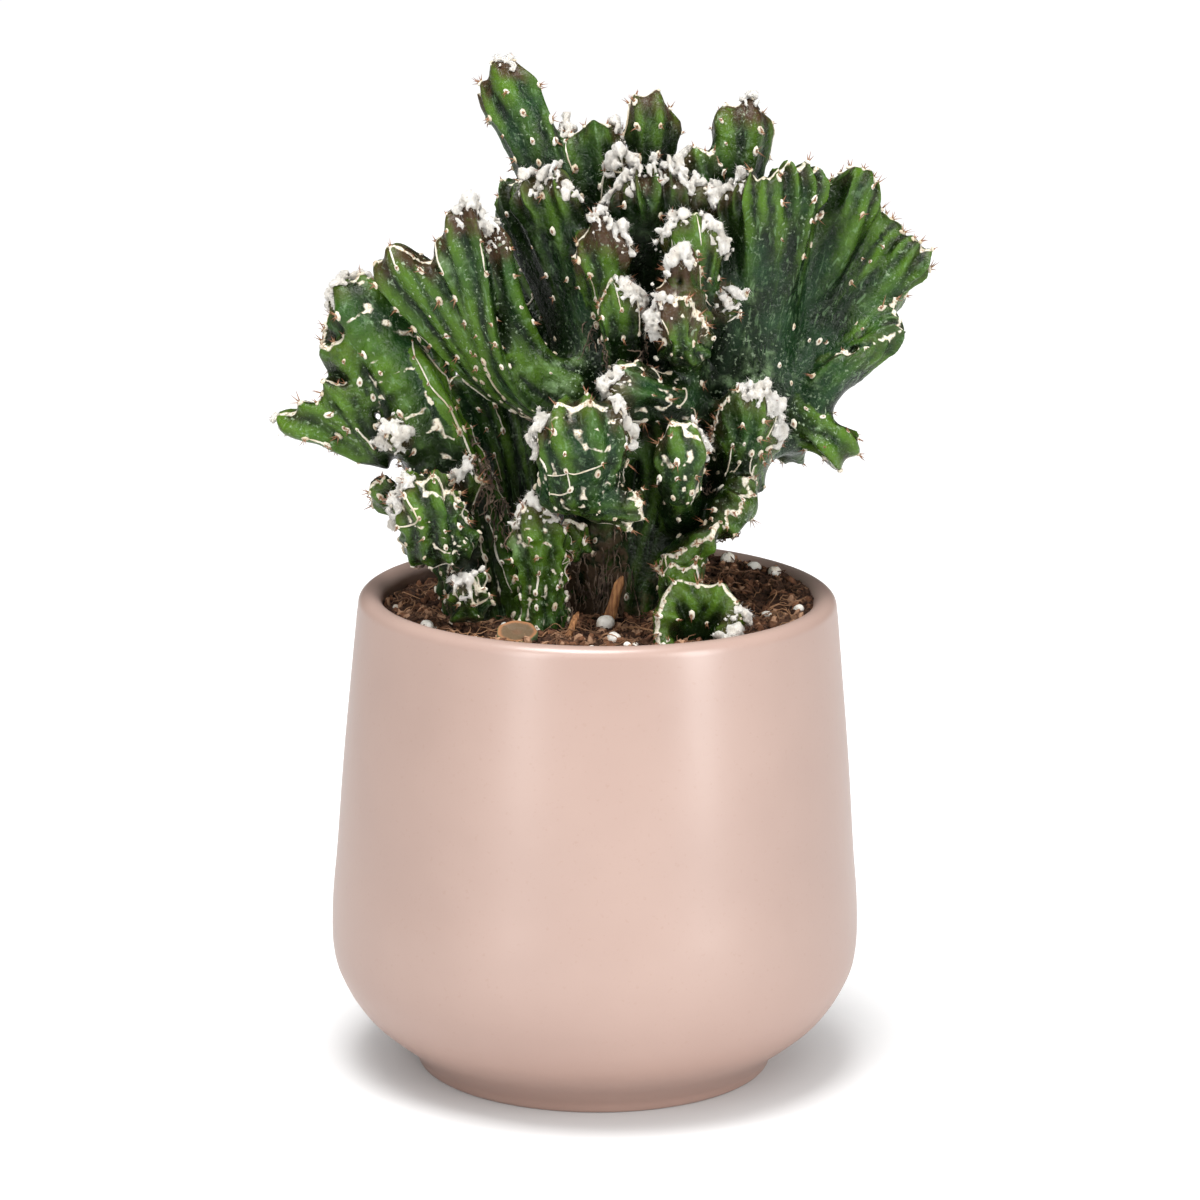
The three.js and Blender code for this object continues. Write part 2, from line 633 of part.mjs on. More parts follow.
// The plain holes for them: a deep one for the root and a wide, shallow seat for the foot of the stem.
function makeHoles(roots) {
  return roots.flatMap(([x, y, radius, seatRadius]) => {
    const deep = new THREE.CylinderGeometry(radius + GAP, radius + GAP, ROOT_DEPTH + 2 * GAP, ROOT_SIDES);
    deep.rotateX(Math.PI / 2).translate(x, y, SEAT_FLOOR + ROOT_IN_FOOT - ROOT_DEPTH / 2);
    const seat = new THREE.CylinderGeometry(seatRadius, seatRadius, SEAT_DEPTH, SEAT_SIDES);
    seat.rotateX(Math.PI / 2).translate(x, y, SEAT_FLOOR + SEAT_DEPTH / 2);
    return [toSolid(deep), toSolid(seat)];
  });
}

function union(solids) {
  return solids.reduce((whole, solid) => whole.add(solid));
}

function makeStem(limbs, roots, seed) {
  const random = seededRandom(seed);
  const body = union([...makeRoots(roots), ...limbs.map((limb) => toSolid(limbGeometry(limb)))]);
  const spines = limbs.flatMap((limb) => limbSpines(limb, random));
  return { body, spines };
}
// Soil: fills the pot, heaped towards the back right, with crumbs on top and a place for each stem.
function soilHeight(x, y) {
  const heap = 4.4 * THREE.MathUtils.smoothstep(x * 0.6 + y * 0.8, 4, 50);
  const crumbs = waviness(x * 0.9, y * 0.9, 3) + 0.6 * waviness(x * 2.3, y * 2.1, 7);
  return SOIL_TOP + heap + CRUMB_HEIGHT * crumbs;
}

function makeSoil() {
  const outline = [new THREE.Vector2(0, SOIL_BOTTOM)];
  const wall = smoothOutline(INNER_WALL, 5).filter((p) => p.y < SOIL_TOP - 4);
  wall.forEach((p) => outline.push(new THREE.Vector2(p.x - 2 * GAP, Math.max(p.y, SOIL_BOTTOM) + GAP)));
  for (let ring = SOIL_RINGS; ring >= 0; ring -= 1) {
    outline.push(new THREE.Vector2((SOIL_EDGE_RADIUS * ring) / SOIL_RINGS, SOIL_TOP));
  }
  const geometry = new THREE.LatheGeometry(outline, POT_SIDES).rotateX(Math.PI / 2);
  const place = geometry.attributes.position;
  for (let i = 0; i < place.count; i += 1) {
    if (Math.abs(place.getZ(i) - SOIL_TOP) < 1e-3) {
      place.setZ(i, soilHeight(place.getX(i), place.getY(i)));
    }
  }
  return toSolid(geometry);
}
// Loose matter on the soil: each grain or splinter lies in a dent of its own.
function makeGrain([x, y, radius], index, grow = 0) {
  const grain = new THREE.DodecahedronGeometry(radius, 0);
  const place = grain.attributes.position;
  for (let i = 0; i < place.count; i += 1) {
    const corner = new THREE.Vector3().fromBufferAttribute(place, i);
    const unevenness = 1 + 0.16 * waviness(corner.x * 2, corner.y * 2 + index, corner.z * 2);
    corner.multiplyScalar(unevenness * (1 + grow / radius));
    place.setXYZ(i, corner.x, corner.y, corner.z * 0.8);
  }
  grain.translate(x, y, soilHeight(x, y) + 0.25 * radius);
  return toSolid(grain);
}

function makeSplinter({ from, to, width, thickness, sides }, grow = 0) {
  const start = new THREE.Vector3(...from);
  const end = new THREE.Vector3(...to);
  const length = start.distanceTo(end);
  const [top, bottom] = [0.35 * width + grow, 0.5 * width + grow];
  const splinter = new THREE.CylinderGeometry(top, bottom, length + 2 * grow, sides);
  splinter.scale(1, 1, (thickness + 2 * grow) / (width + 2 * grow));
  const direction = end.clone().sub(start).normalize();
  splinter.applyQuaternion(new THREE.Quaternion().setFromUnitVectors(new THREE.Vector3(0, 1, 0), direction));
  const middle = start.add(end).multiplyScalar(0.5);
  splinter.translate(middle.x, middle.y, middle.z);
  return toSolid(splinter);
}

function makeCutStub({ face, radius, length, tilt, sides }, grow = 0) {
  const stub = new THREE.CylinderGeometry(radius * 0.94 + grow, radius + grow, length + 2 * grow, sides, 2);
  const place = stub.attributes.position;
  for (let i = 0; i < place.count; i += 1) {
    const edge = Math.hypot(place.getX(i), place.getZ(i)) / radius;
    const turn = Math.atan2(place.getZ(i), place.getX(i));
    const out = 1 + 0.06 * edge * Math.cos(7 * turn + 0.4);
    place.setX(i, place.getX(i) * out);
    place.setZ(i, place.getZ(i) * out);
  }
  stub.translate(0, -length / 2, 0);
  stub.rotateX(Math.PI / 2 + THREE.MathUtils.degToRad(tilt));
  stub.translate(...face);
  return toSolid(stub);
}

// Everything is put together: later stems are cut clear of earlier ones, and no spine enters another stem.
const stems = STEMS.map((stem) => ({ ...stem, ...makeStem(stem.limbs, stem.roots, stem.seed) }));
const fatStems = stems.map((stem) => union([
  ...makeRoots(stem.roots, NODE_CLEARANCE),
  ...stem.limbs.map((limb) => toSolid(limbGeometry(limb, NODE_CLEARANCE))),
]));
const plant = stems.map((stem, i) => {
  const clearOf = (solid, others) => others.reduce((rest, other) => rest.subtract(other), solid);
  const body = clearOf(stem.body, fatStems.slice(0, i));
  const spines = clearOf(union(stem.spines), fatStems.filter((fat, k) => k !== i));
  return { name: stem.name, solid: largestBody(body.add(spines)) };
});

const grains = GRAINS.map((grain, i) => ({ name: `perlite_${i + 1}`, solid: makeGrain(grain, i) }));
const splinters = SPLINTERS.map((splinter) => ({ name: splinter.name, solid: makeSplinter(splinter) }));
const dents = [
  ...STEMS.flatMap((stem) => makeHoles(stem.roots)),
  makeCutStub(CUT_STUB, GAP),
  ...GRAINS.map((grain, i) => makeGrain(grain, i, GAP)),
  ...SPLINTERS.map((splinter) => makeSplinter(splinter, GAP)),
];
const soil = largestBody(dents.reduce((rest, dent) => rest.subtract(dent), makeSoil()));

const potted = new THREE.Group();
function place(name, solid, material) {
  const mesh = new THREE.Mesh(toGeometry(solid), material);
  mesh.name = name;
  potted.add(mesh);
}

const glaze = finish(COLOURS.glaze, 0.35);
const earth = finish(COLOURS.earth, 0.95);
const skin = finish(COLOURS.green, 0.5);
const perlite = finish(COLOURS.perlite, 0.9);
const bark = finish(COLOURS.bark, 0.85);
place('pot', makePot(), glaze);
place('soil', soil, earth);
plant.forEach(({ name, solid }) => place(name, solid, skin));
place('cut_stub', makeCutStub(CUT_STUB), skin);
grains.forEach(({ name, solid }) => place(name, solid, perlite));
splinters.forEach(({ name, solid }) => place(name, solid, bark));

export default potted;
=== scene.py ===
# %% [markdown]
# # A crested cactus in a pink glazed pot
#
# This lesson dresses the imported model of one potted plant. Monvillea is a columnar cactus. In its crested
# form the growing point has become a line, so the stems spread into ribbed fans with woolly edges. The
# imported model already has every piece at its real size. Here each piece gets a finer surface and its real
# finish.
#
# Numbers for the plant are in millimetres, as a gardener would measure them, and become metres in the mesh.

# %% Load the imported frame
import math
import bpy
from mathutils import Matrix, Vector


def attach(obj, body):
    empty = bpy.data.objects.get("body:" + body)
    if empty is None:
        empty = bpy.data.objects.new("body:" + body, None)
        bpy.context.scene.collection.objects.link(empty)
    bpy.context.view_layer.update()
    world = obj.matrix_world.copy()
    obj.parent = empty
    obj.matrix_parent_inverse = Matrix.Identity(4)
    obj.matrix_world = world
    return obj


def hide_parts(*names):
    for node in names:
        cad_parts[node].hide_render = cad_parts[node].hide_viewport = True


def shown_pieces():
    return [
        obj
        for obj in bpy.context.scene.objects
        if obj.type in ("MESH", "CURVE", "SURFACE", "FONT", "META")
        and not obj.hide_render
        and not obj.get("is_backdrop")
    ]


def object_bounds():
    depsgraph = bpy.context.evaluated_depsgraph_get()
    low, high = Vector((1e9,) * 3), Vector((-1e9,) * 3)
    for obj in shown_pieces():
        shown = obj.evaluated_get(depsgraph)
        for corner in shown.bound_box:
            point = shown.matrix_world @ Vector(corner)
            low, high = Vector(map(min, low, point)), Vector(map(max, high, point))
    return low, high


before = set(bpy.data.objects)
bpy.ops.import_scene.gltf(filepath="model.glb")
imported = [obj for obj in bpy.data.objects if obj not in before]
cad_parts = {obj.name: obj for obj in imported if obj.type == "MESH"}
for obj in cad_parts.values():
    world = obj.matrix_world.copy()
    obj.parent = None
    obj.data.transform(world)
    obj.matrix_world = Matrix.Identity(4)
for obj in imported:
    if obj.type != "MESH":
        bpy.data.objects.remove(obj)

from types import SimpleNamespace

import bpy
import numpy as np
from mathutils import Matrix, Vector
from mathutils.bvhtree import BVHTree
from mathutils.noise import fractal

MM = 0.001
cad_low, cad_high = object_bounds()
print("CAD box in mm:", [round(c / MM, 1) for c in (*cad_low, *cad_high)])


def add_object(name, data):
    """Puts a new object with this data into the scene."""
    made = bpy.data.objects.new(name, data)
    bpy.context.scene.collection.objects.link(made)
    return made

# %% [markdown]
# ## Camera
#
# A product photo of a pot is taken with a long lens from a little above. The camera could be placed by eye,
# but the rim and the foot of a round pot are ellipses, and how flat they are gives the angle exactly. So
# the angle, distance and focal length below are worked out from those ellipses.

# %% Camera
PICTURE_SIDE = 1200
FOCAL_LENGTH_IN_PIXELS = 4707.5
POT_AXIS_PIXEL = 597.52
SENSOR_WIDTH = 36.0
LOOK_DOWN = math.radians(13.54)
ROLL = math.radians(0.494)
AIM = Vector((0, 0, 0.12214))
DISTANCE = 1.2024

camera_data = bpy.data.cameras.new("camera")
camera_data.sensor_width = SENSOR_WIDTH
camera_data.lens = FOCAL_LENGTH_IN_PIXELS / PICTURE_SIDE * SENSOR_WIDTH
camera_data.shift_x = (PICTURE_SIDE / 2 - POT_AXIS_PIXEL) / PICTURE_SIDE
camera = add_object("camera", camera_data)
camera.location = AIM + DISTANCE * Vector((0, -math.cos(LOOK_DOWN), math.sin(LOOK_DOWN)))
tilt = Matrix.Rotation(math.pi / 2 - LOOK_DOWN, 3, "X") @ Matrix.Rotation(ROLL, 3, "Z")
camera.rotation_euler = tilt.to_euler()
bpy.context.scene.camera = camera
print("lens in mm:", round(camera_data.lens, 1))

# %% [markdown]
# ## Meshes from arrays
#
# Most pieces of this lesson are meshes filled from arrays of points. Numbers stored on the points, such as
# how old the skin is there, travel with the mesh to the node trees and to the finish. A modifier's result
# is kept as a plain mesh. Each finished piece then gets its material and rides on a body, and an imported
# piece that it replaces is hidden.

# %% Meshes from arrays
def mesh_object(name, points, faces=(), edges=(), **values):
    """A mesh object at the origin. Points are in millimetres. A named array has a value for each point."""
    mesh = bpy.data.meshes.new(name)
    mesh.from_pydata((np.asarray(points) * MM).tolist(), list(edges), list(faces))
    for label, value in values.items():
        value = np.asarray(value, np.float32)
        kind, field = ("FLOAT_VECTOR", "vector") if value.ndim == 2 else ("FLOAT", "value")
        mesh.attributes.new(label, kind, "POINT").data.foreach_set(field, value.ravel())
    mesh.update()
    return add_object(name, mesh)


def settle(piece):
    """Keeps what the modifiers make as the piece's own plain mesh, and takes the modifiers off."""
    evaluated = piece.evaluated_get(bpy.context.evaluated_depsgraph_get())
    made = bpy.data.meshes.new_from_object(evaluated)
    piece.modifiers.clear()
    piece.data = made
    made.name = piece.name

# %% [markdown]
# ## Node trees as formulas
#
# The finishes and the small shapes are node trees. They could be wired in the node editor, or typed out
# link by link. Here a node's output is a Field: adding or multiplying two Fields adds the math node for it,
# so a tree reads like a formula. Nodes holds the calls that geometry and finishes share.

# %% Fields and nodes
class Field:
    """An output of a node. A formula with Fields adds the nodes that the formula needs."""

    def __init__(self, nodes, socket):
        self.nodes, self.socket = nodes, socket

    def __add__(self, other):
        return self.nodes.math("ADD", self, other)

    def __sub__(self, other):
        return self.nodes.math("SUBTRACT", self, other)

    def __mul__(self, other):
        return self.nodes.math("MULTIPLY", self, other)

    def __truediv__(self, other):
        return self.nodes.math("DIVIDE", self, other)

    def other(self, label):
        """Another output of the same node."""
        return Field(self.nodes, self.socket.node.outputs[label])

    def between(self, low, high, to_low=0.0, to_high=1.0):
        """Turns low..high into 0..1, or into another range, by a smooth step."""
        inputs = {"Value": self, "From Min": low, "From Max": high, "To Min": to_low, "To Max": to_high}
        return self.nodes.put("ShaderNodeMapRange", inputs, interpolation_type="SMOOTHSTEP")

    def blend(self, first, second):
        """Mixes two colours: the first where this number is 0, the second where it is 1."""
        return self.nodes.put("ShaderNodeMix", {0: self, 6: first, 7: second}, 2, data_type="RGBA")


class Nodes:
    """Adds nodes to one tree."""

    def __init__(self, tree):
        self.tree = tree

    def fill(self, socket, value):
        """Links a Field to an input, or sets a plain value on it."""
        if isinstance(value, Field):
            self.tree.links.new(value.socket, socket)
        elif socket.type == "RGBA":
            socket.default_value = (*value[:3], 1.0)
        else:
            socket.default_value = value

    def put(self, kind, inputs=None, out=0, **settings):
        """Adds a node, fills its inputs by name or number, and gives one of its outputs."""
        node = self.tree.nodes.new(kind)
        for label, value in settings.items():
            setattr(node, label, value)
        for key, value in (inputs or {}).items():
            by_name = (s for s in node.inputs if s.name == key and s.enabled)
            self.fill(node.inputs[key] if isinstance(key, int) else next(by_name), value)
        return Field(self, node.outputs[out])

    def math(self, operation, *values):
        return self.put("ShaderNodeMath", dict(enumerate(values)), operation=operation)

    def part(self, vector, axis):
        return self.put("ShaderNodeSeparateXYZ", {"Vector": vector}, axis)

    def combine(self, x, y, z):
        return self.put("ShaderNodeCombineXYZ", {"X": x, "Y": y, "Z": z})

    def length(self, vector):
        return self.put("ShaderNodeVectorMath", {0: vector}, "Value", operation="LENGTH")

# %% [markdown]
# ## Geometry Nodes
#
# Whatever repeats, or follows a surface or a path, is made by a Geometry Nodes tree: its sizes are named
# inputs, its random choices have a fixed seed, and it ends by making instances real and setting the
# material, so that the result can be kept as one plain mesh.

# %% Geometry trees
VECTOR = "FLOAT_VECTOR"


class Shapes(Nodes):
    """Adds nodes to a new Geometry Nodes tree with named inputs."""

    SOCKETS = {int: "NodeSocketInt", float: "NodeSocketFloat", bpy.types.Material: "NodeSocketMaterial",
               bpy.types.Object: "NodeSocketObject"}

    def __init__(self, name, **inputs):
        super().__init__(bpy.data.node_groups.new(name, "GeometryNodeTree"))
        sockets = self.tree.interface
        sockets.new_socket("Geometry", in_out="INPUT", socket_type="NodeSocketGeometry")
        sockets.new_socket("Geometry", in_out="OUTPUT", socket_type="NodeSocketGeometry")
        for label, value in {**inputs, "Material": bpy.types.Material}.items():
            kind = self.SOCKETS[value if isinstance(value, type) else type(value)]
            socket = sockets.new_socket(label.replace("_", " "), in_out="INPUT", socket_type=kind)
            if not isinstance(value, type):
                socket.default_value = value
        given = self.tree.nodes.new("NodeGroupInput")
        self.given = {s.name: Field(self, s) for s in given.outputs}
        self.position = self.put("GeometryNodeInputPosition")
        self.normal = self.put("GeometryNodeInputNormal")

    def end(self, geometry, rounded=True):
        """Makes instances real, sets the material and gives the finished tree."""
        shading = {"Geometry": self.real(geometry), "Shade Smooth": rounded}
        smooth = self.put("GeometryNodeSetShadeSmooth", shading)
        finish = {"Geometry": smooth, "Material": self.given["Material"]}
        painted = self.put("GeometryNodeSetMaterial", finish)
        ending = self.tree.nodes.new("NodeGroupOutput")
        self.fill(ending.inputs["Geometry"], painted)
        return self.tree

    def real(self, geometry):
        return self.put("GeometryNodeRealizeInstances", {"Geometry": geometry})

    def stored(self, label, kind="FLOAT"):
        """Reads numbers stored on the points."""
        return self.put("GeometryNodeInputNamedAttribute", {"Name": label}, "Attribute", data_type=kind)

    def store(self, geometry, label, value):
        inputs = {"Geometry": geometry, "Name": label, "Value": value}
        return self.put("GeometryNodeStoreNamedAttribute", inputs)

    def scaled(self, vector, factor):
        """A vector times a number, either of them a value or a Field."""
        return self.put("ShaderNodeVectorMath", {"Vector": vector, "Scale": factor}, operation="SCALE")

    def vectors(self, operation, first, second):
        return self.put("ShaderNodeVectorMath", {0: first, 1: second}, operation=operation)

    def blurred(self, value, steps, **more):
        kind = VECTOR if value is self.position else "FLOAT"
        inputs = {"Value": value, "Iterations": steps, **more}
        return self.put("GeometryNodeBlurAttribute", inputs, data_type=kind)

    def moved(self, geometry, **way):
        """Moves points to a Position or by an Offset."""
        return self.put("GeometryNodeSetPosition", {"Geometry": geometry, **way})

    def pushed_out(self, geometry, per_metre, depth, detail=2.0, distortion=0.0):
        """Moves points in and out along their normals by noise, up to about half the depth each way."""
        inputs = {"Scale": per_metre, "Detail": detail, "Distortion": distortion}
        height = (self.put("ShaderNodeTexNoise", inputs) - 0.5) * depth
        return self.moved(geometry, Offset=self.scaled(self.normal, height))

    def random(self, low, high):
        """A random number or vector for each element, from the tree's Seed."""
        inputs = {"Min": low, "Max": high, "Seed": self.given["Seed"]}
        if isinstance(low, tuple):
            return self.put("FunctionNodeRandomValue", inputs, data_type=VECTOR)
        return self.put("FunctionNodeRandomValue", inputs, "Value")

    def turned(self, vector, axis="Z", **more):
        """The turn that lays an axis along a vector."""
        before = {"Rotation": more.pop("after")} if "after" in more else {}
        return self.put("FunctionNodeAlignRotationToVector", {**before, "Vector": vector}, axis=axis, **more)

    def tumbled(self, low, high):
        """A random turn."""
        return self.put("FunctionNodeEulerToRotation", {"Euler": self.random(low, high)})

    def on_points(self, points, instance, rotation, scale):
        inputs = {"Points": points, "Instance": instance, "Rotation": rotation, "Scale": scale}
        return self.put("GeometryNodeInstanceOnPoints", inputs)

    def strewn(self, density):
        """Points strewn over the faces of the given mesh."""
        inputs = {"Mesh": self.given["Geometry"], "Density": density, "Seed": self.given["Seed"]}
        return self.put("GeometryNodeDistributePointsOnFaces", inputs)


def run(tree, piece, **values):
    """Runs a Geometry Nodes tree on a piece, and keeps the result as its plain mesh."""
    modifier = piece.modifiers.new(tree.name, "NODES")
    modifier.node_group = tree
    keys = {item.name: item.identifier for item in tree.interface.items_tree if item.in_out == "INPUT"}
    for label, value in values.items():
        modifier[keys[label.replace("_", " ")]] = value
    settle(piece)
    print(piece.name, "faces:", len(piece.data.polygons))

# %% [markdown]
# ## Finishes
#
# A real surface is never one flat colour. Each finish below mixes a few colours by noise of the right scale
# and lets the same noise change the gloss and the relief. Everything is read in Object coordinates, or from
# numbers stored on the points, so the pattern stays on the piece from any side.

# %% Finishes
class Finish(Nodes):
    """A new material."""

    def __init__(self, name):
        self.material = bpy.data.materials.new(name)
        self.material.use_nodes = True
        super().__init__(self.material.node_tree)
        self.where = self.put("ShaderNodeTexCoord", out="Object")

    def noise(self, per_metre, detail=3.0, roughness=0.55, where=None, distortion=0.0):
        inputs = {"Vector": where or self.where, "Scale": per_metre, "Detail": detail,
                  "Roughness": roughness, "Distortion": distortion}
        return self.put("ShaderNodeTexNoise", inputs)

    def cells(self, per_metre, out="Distance"):
        return self.put("ShaderNodeTexVoronoi", {"Vector": self.where, "Scale": per_metre}, out)

    def stored(self, label):
        """Reads numbers stored on the points."""
        return self.put("ShaderNodeAttribute", out="Fac", attribute_name=label)

    def done(self, relief=None, depth=0.0, **inputs):
        """Fills the shader, adds fine relief, 0..1 times a depth in metres, and gives the material."""
        shader = self.tree.nodes["Principled BSDF"]
        if relief:
            bump = {"Height": relief, "Distance": depth, "Strength": 1.0}
            inputs["Normal"] = self.put("ShaderNodeBump", bump)
        for label, value in inputs.items():
            self.fill(shader.inputs[label.replace("_", " ")], value)
        return self.material

# %% [markdown]
# ## Studio
#
# The plant stands on a white sweep of paper that fades into white. A bent sheet could be modelled. The
# camera looks down on the floor everywhere, so a flat floor of several metres is enough. It glows a little,
# as paper does that is lit from all round, but not under the pot, where the contact shadow lies, and less
# in front and at the left, where the glaze mirrors it. Two tall soft boxes stand left and right of the
# camera: the glaze mirrors them as two soft upright bands. A wide one in front and one above light the
# plant, and a dim white room keeps the gaps between the stems dark; the skin's finish also paints shade
# into them.

# %% Floor and light
FLOOR_HALF = 9000
DULL_WHITE, CLEAR_WHITE = (0.54, 0.54, 0.54), (0.56, 0.56, 0.56)
NEAR_GLOW, FAR_GLOW = 0.62, 0.3
LEFT_SHARE, FRONT_SHARE = 0.5, 0.4
LEFT_SLANT = 0.13
WHITE = (1.0, 1.0, 1.0)
ROOM_LIGHT = 0.09
LAMP_AIM = Vector((0, 0, 0.14))


def paper_finish():
    """White paper that glows round the pot. Distances are in metres."""
    paper = Finish("white_paper")
    from_pot = paper.length(paper.where)
    side, back = paper.part(paper.where, "X"), paper.part(paper.where, "Y")
    glow = from_pot.between(0.03, 0.10, 0.0, NEAR_GLOW) + from_pot.between(0.25, 1.4, 0.0, FAR_GLOW)
    glow = glow * (side + back * LEFT_SLANT).between(-0.40, -0.18, LEFT_SHARE, 1.0)
    glow = glow * back.between(-1.0, -0.4, FRONT_SHARE, 1.0)
    return paper.done(Base_Color=paper.noise(3.0).blend(DULL_WHITE, CLEAR_WHITE), Emission_Strength=glow,
                      Emission_Color=WHITE, Roughness=0.9, Specular_IOR_Level=0.1)


corners = [(x * FLOOR_HALF, y * FLOOR_HALF, 0) for x, y in ((-1, -1), (1, -1), (1, 1), (-1, 1))]
floor = mesh_object("studio_floor", corners, [(0, 1, 2, 3)])
floor.data.materials.append(paper_finish())
floor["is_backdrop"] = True


def soft_box(name, place, width, height, watts):
    """A large area light that faces the plant."""
    data = bpy.data.lights.new(name, "AREA")
    data.shape = "RECTANGLE"
    data.size, data.size_y, data.energy = width, height, watts
    lamp = add_object(name, data)
    lamp.location = place
    lamp.rotation_euler = (Vector(place) - LAMP_AIM).to_track_quat("Z", "Y").to_euler()


soft_box("left_soft_box", (-0.75, -1.2, 0.6), 0.35, 1.2, 11.0)
soft_box("right_soft_box", (1.1, -1.0, 0.6), 0.35, 1.2, 18.0)
soft_box("front_soft_box", (0.0, -1.5, 1.1), 0.9, 0.6, 3.0)
soft_box("top_soft_box", (-0.15, -0.3, 1.4), 0.7, 0.7, 24.0)
world = bpy.data.worlds.new("white_room")
world.use_nodes = True
world.node_tree.nodes["Background"].inputs["Color"].default_value = (*WHITE, 1.0)
world.node_tree.nodes["Background"].inputs["Strength"].default_value = ROOM_LIGHT
bpy.context.scene.world = world
bpy.context.scene.view_settings.view_transform = "Standard"

# %% [markdown]
# ## The pot
#
# The real pot is slip cast and glazed: one wall with a rounded rim, a round belly and a short foot. It
# could be turned with the Spin tool or with a Screw modifier. A lathe in Geometry Nodes is used, because
# the number of sides stays an input and every ring keeps the exact outline. A grid has one column for each
# side and one row for each point of the outline, and every grid point is moved to its outline point, turned
# by its column's angle.

# %% The outline of the pot
OUTER_WALL = [(45.9, 1.2), (46.9, 3.2), (50, 6.5), (54.5, 10), (59.1, 14), (62.3, 18), (64.7, 22), (66.9, 27),
              (67.8, 32), (68, 38), (67.6, 47), (66.6, 58), (65, 80), (63.2, 100), (61.4, 119)]
INNER_WALL = [(40, 10), (50, 13), (56.6, 19), (60.4, 27), (61.8, 37), (61.5, 47), (60.5, 58), (58.9, 80),
              (57.1, 100), (55.3, 119)]
RIM_RADIUS, RIM_HEIGHT, RIM_ROUND = 58.04, 121.44, 3.06
FOOT_RADIUS, FOOT_ROUND = 44.7, 1.2
RECESS_RADIUS, RECESS_DEPTH = 38.0, 1.5
POT_FLOOR = 9


def smooth_line(points, steps=24):
    """A smooth line through the points, and how far along it each of its points lies, from 0 to 1."""
    known = np.array(points, float)
    known = np.vstack([2 * known[0] - known[1], known, 2 * known[-1] - known[-2]])
    spans = len(points) - 1
    x = np.linspace(0, spans, spans * steps + 1)
    i = np.minimum(x.astype(int), spans - 1)
    w = (x - i)[:, None]
    a, b, c, d = known[i], known[i + 1], known[i + 2], known[i + 3]
    line = 0.5 * (2 * b + (c - a) * w + (2 * a - 5 * b + 4 * c - d) * w**2 + (3 * b - a - 3 * c + d) * w**3)
    lengths = np.linalg.norm(np.diff(line, axis=0), axis=1)
    along = np.concatenate([[0], np.cumsum(lengths)])
    return line, along / along[-1]


def arc(radius, height, size, turn):
    """Points of a round edge of the outline."""
    return np.column_stack([radius + size * np.cos(turn), height + size * np.sin(turn)])


outline = np.vstack([
    [(0, RECESS_DEPTH), (RECESS_RADIUS - 1, RECESS_DEPTH), (RECESS_RADIUS, 0)],
    arc(FOOT_RADIUS, FOOT_ROUND, FOOT_ROUND, np.linspace(-math.pi / 2, 0, 5)[:-1]),
    smooth_line(OUTER_WALL, 5)[0], arc(RIM_RADIUS, RIM_HEIGHT, RIM_ROUND, np.linspace(0, math.pi, 15)),
    smooth_line(INNER_WALL, 5)[0][::-1], [(0, POT_FLOOR)],
])
print("outline points:", len(outline))

# %% The lathe
def lathe_tree():
    """Turns an outline in the X-Z plane round the Z axis."""
    lathe = Shapes("Lathe", Sides=96)
    outline_given, sides = lathe.given["Geometry"], lathe.given["Sides"]
    rows = lathe.put("GeometryNodeAttributeDomainSize", {"Geometry": outline_given}, "Point Count")
    grid = lathe.put("GeometryNodeMeshGrid", {"Vertices X": sides + 1, "Vertices Y": rows})
    index = lathe.put("GeometryNodeInputIndex")
    column = lathe.math("FLOOR", (index + 0.5) / rows)
    angle = column / sides * math.tau
    read = {"Geometry": outline_given, "Value": lathe.position, "Index": lathe.math("MODULO", index, rows)}
    profile = lathe.put("GeometryNodeSampleIndex", read, data_type=VECTOR)
    turned = lathe.put("ShaderNodeVectorRotate", {"Vector": profile, "Angle": angle}, rotation_type="Z_AXIS")
    placed = lathe.moved(grid, Position=turned)
    return lathe.end(lathe.put("GeometryNodeMergeByDistance", {"Geometry": placed, "Distance": 0.01 * MM}))


def face_outwards(piece):
    """Turns the faces of a closed mesh so that all of them point out."""
    bpy.context.view_layer.objects.active = piece
    bpy.ops.object.select_all(action="DESELECT")
    piece.select_set(True)
    bpy.ops.object.mode_set(mode="EDIT")
    bpy.ops.mesh.select_all(action="SELECT")
    bpy.ops.mesh.normals_make_consistent(inside=False)
    bpy.ops.object.mode_set(mode="OBJECT")

# %% [markdown]
# ## The glaze
#
# The real glaze is a dusty pink satin one: even in colour, with very fine speckle and a few pin holes under
# the rim. The finish is a little darker towards the foot. A plain glossy shader would look like plastic.
# So a soft coat lies over a rough base, and a slow, shallow waviness breaks the edges of the two mirrored
# light bands.

# %% Glaze and pot
def glaze_finish():
    glaze = Finish("pink_satin_glaze")
    cloud, speckle = glaze.noise(22.0, 3.0, 0.5), glaze.noise(900.0, 2.0, 0.5)
    colour = cloud.between(0.3, 0.7).blend((0.365, 0.255, 0.216), (0.390, 0.275, 0.233))
    colour = speckle.between(0.62, 0.75, 0.0, 0.25).blend(colour, (0.32, 0.20, 0.16))
    height = glaze.part(glaze.where, "Z")
    # Darker towards the foot, from 50 mm high down to 4 mm.
    thin = height.between(50 * MM, 4 * MM, 0.0, 0.6)
    colour = thin.blend(colour, (0.32, 0.19, 0.15))
    chance = glaze.noise(70.0, 1.0, 0.5).between(0.66, 0.70)
    pin = glaze.cells(260.0).between(0.22, 0.12) * (chance * height.between(108 * MM, 116 * MM))
    colour = (pin * 0.5).blend(colour, (0.30, 0.17, 0.13))
    uneven = glaze.noise(45.0, 2.0, 0.5) + speckle * 0.05
    return glaze.done(uneven - pin, 0.00035, Base_Color=colour, Roughness=cloud.between(0.3, 0.7, 0.40, 0.48),
                      Coat_Weight=0.42, Coat_IOR=2.0, Coat_Roughness=0.3, Specular_IOR_Level=0.05)


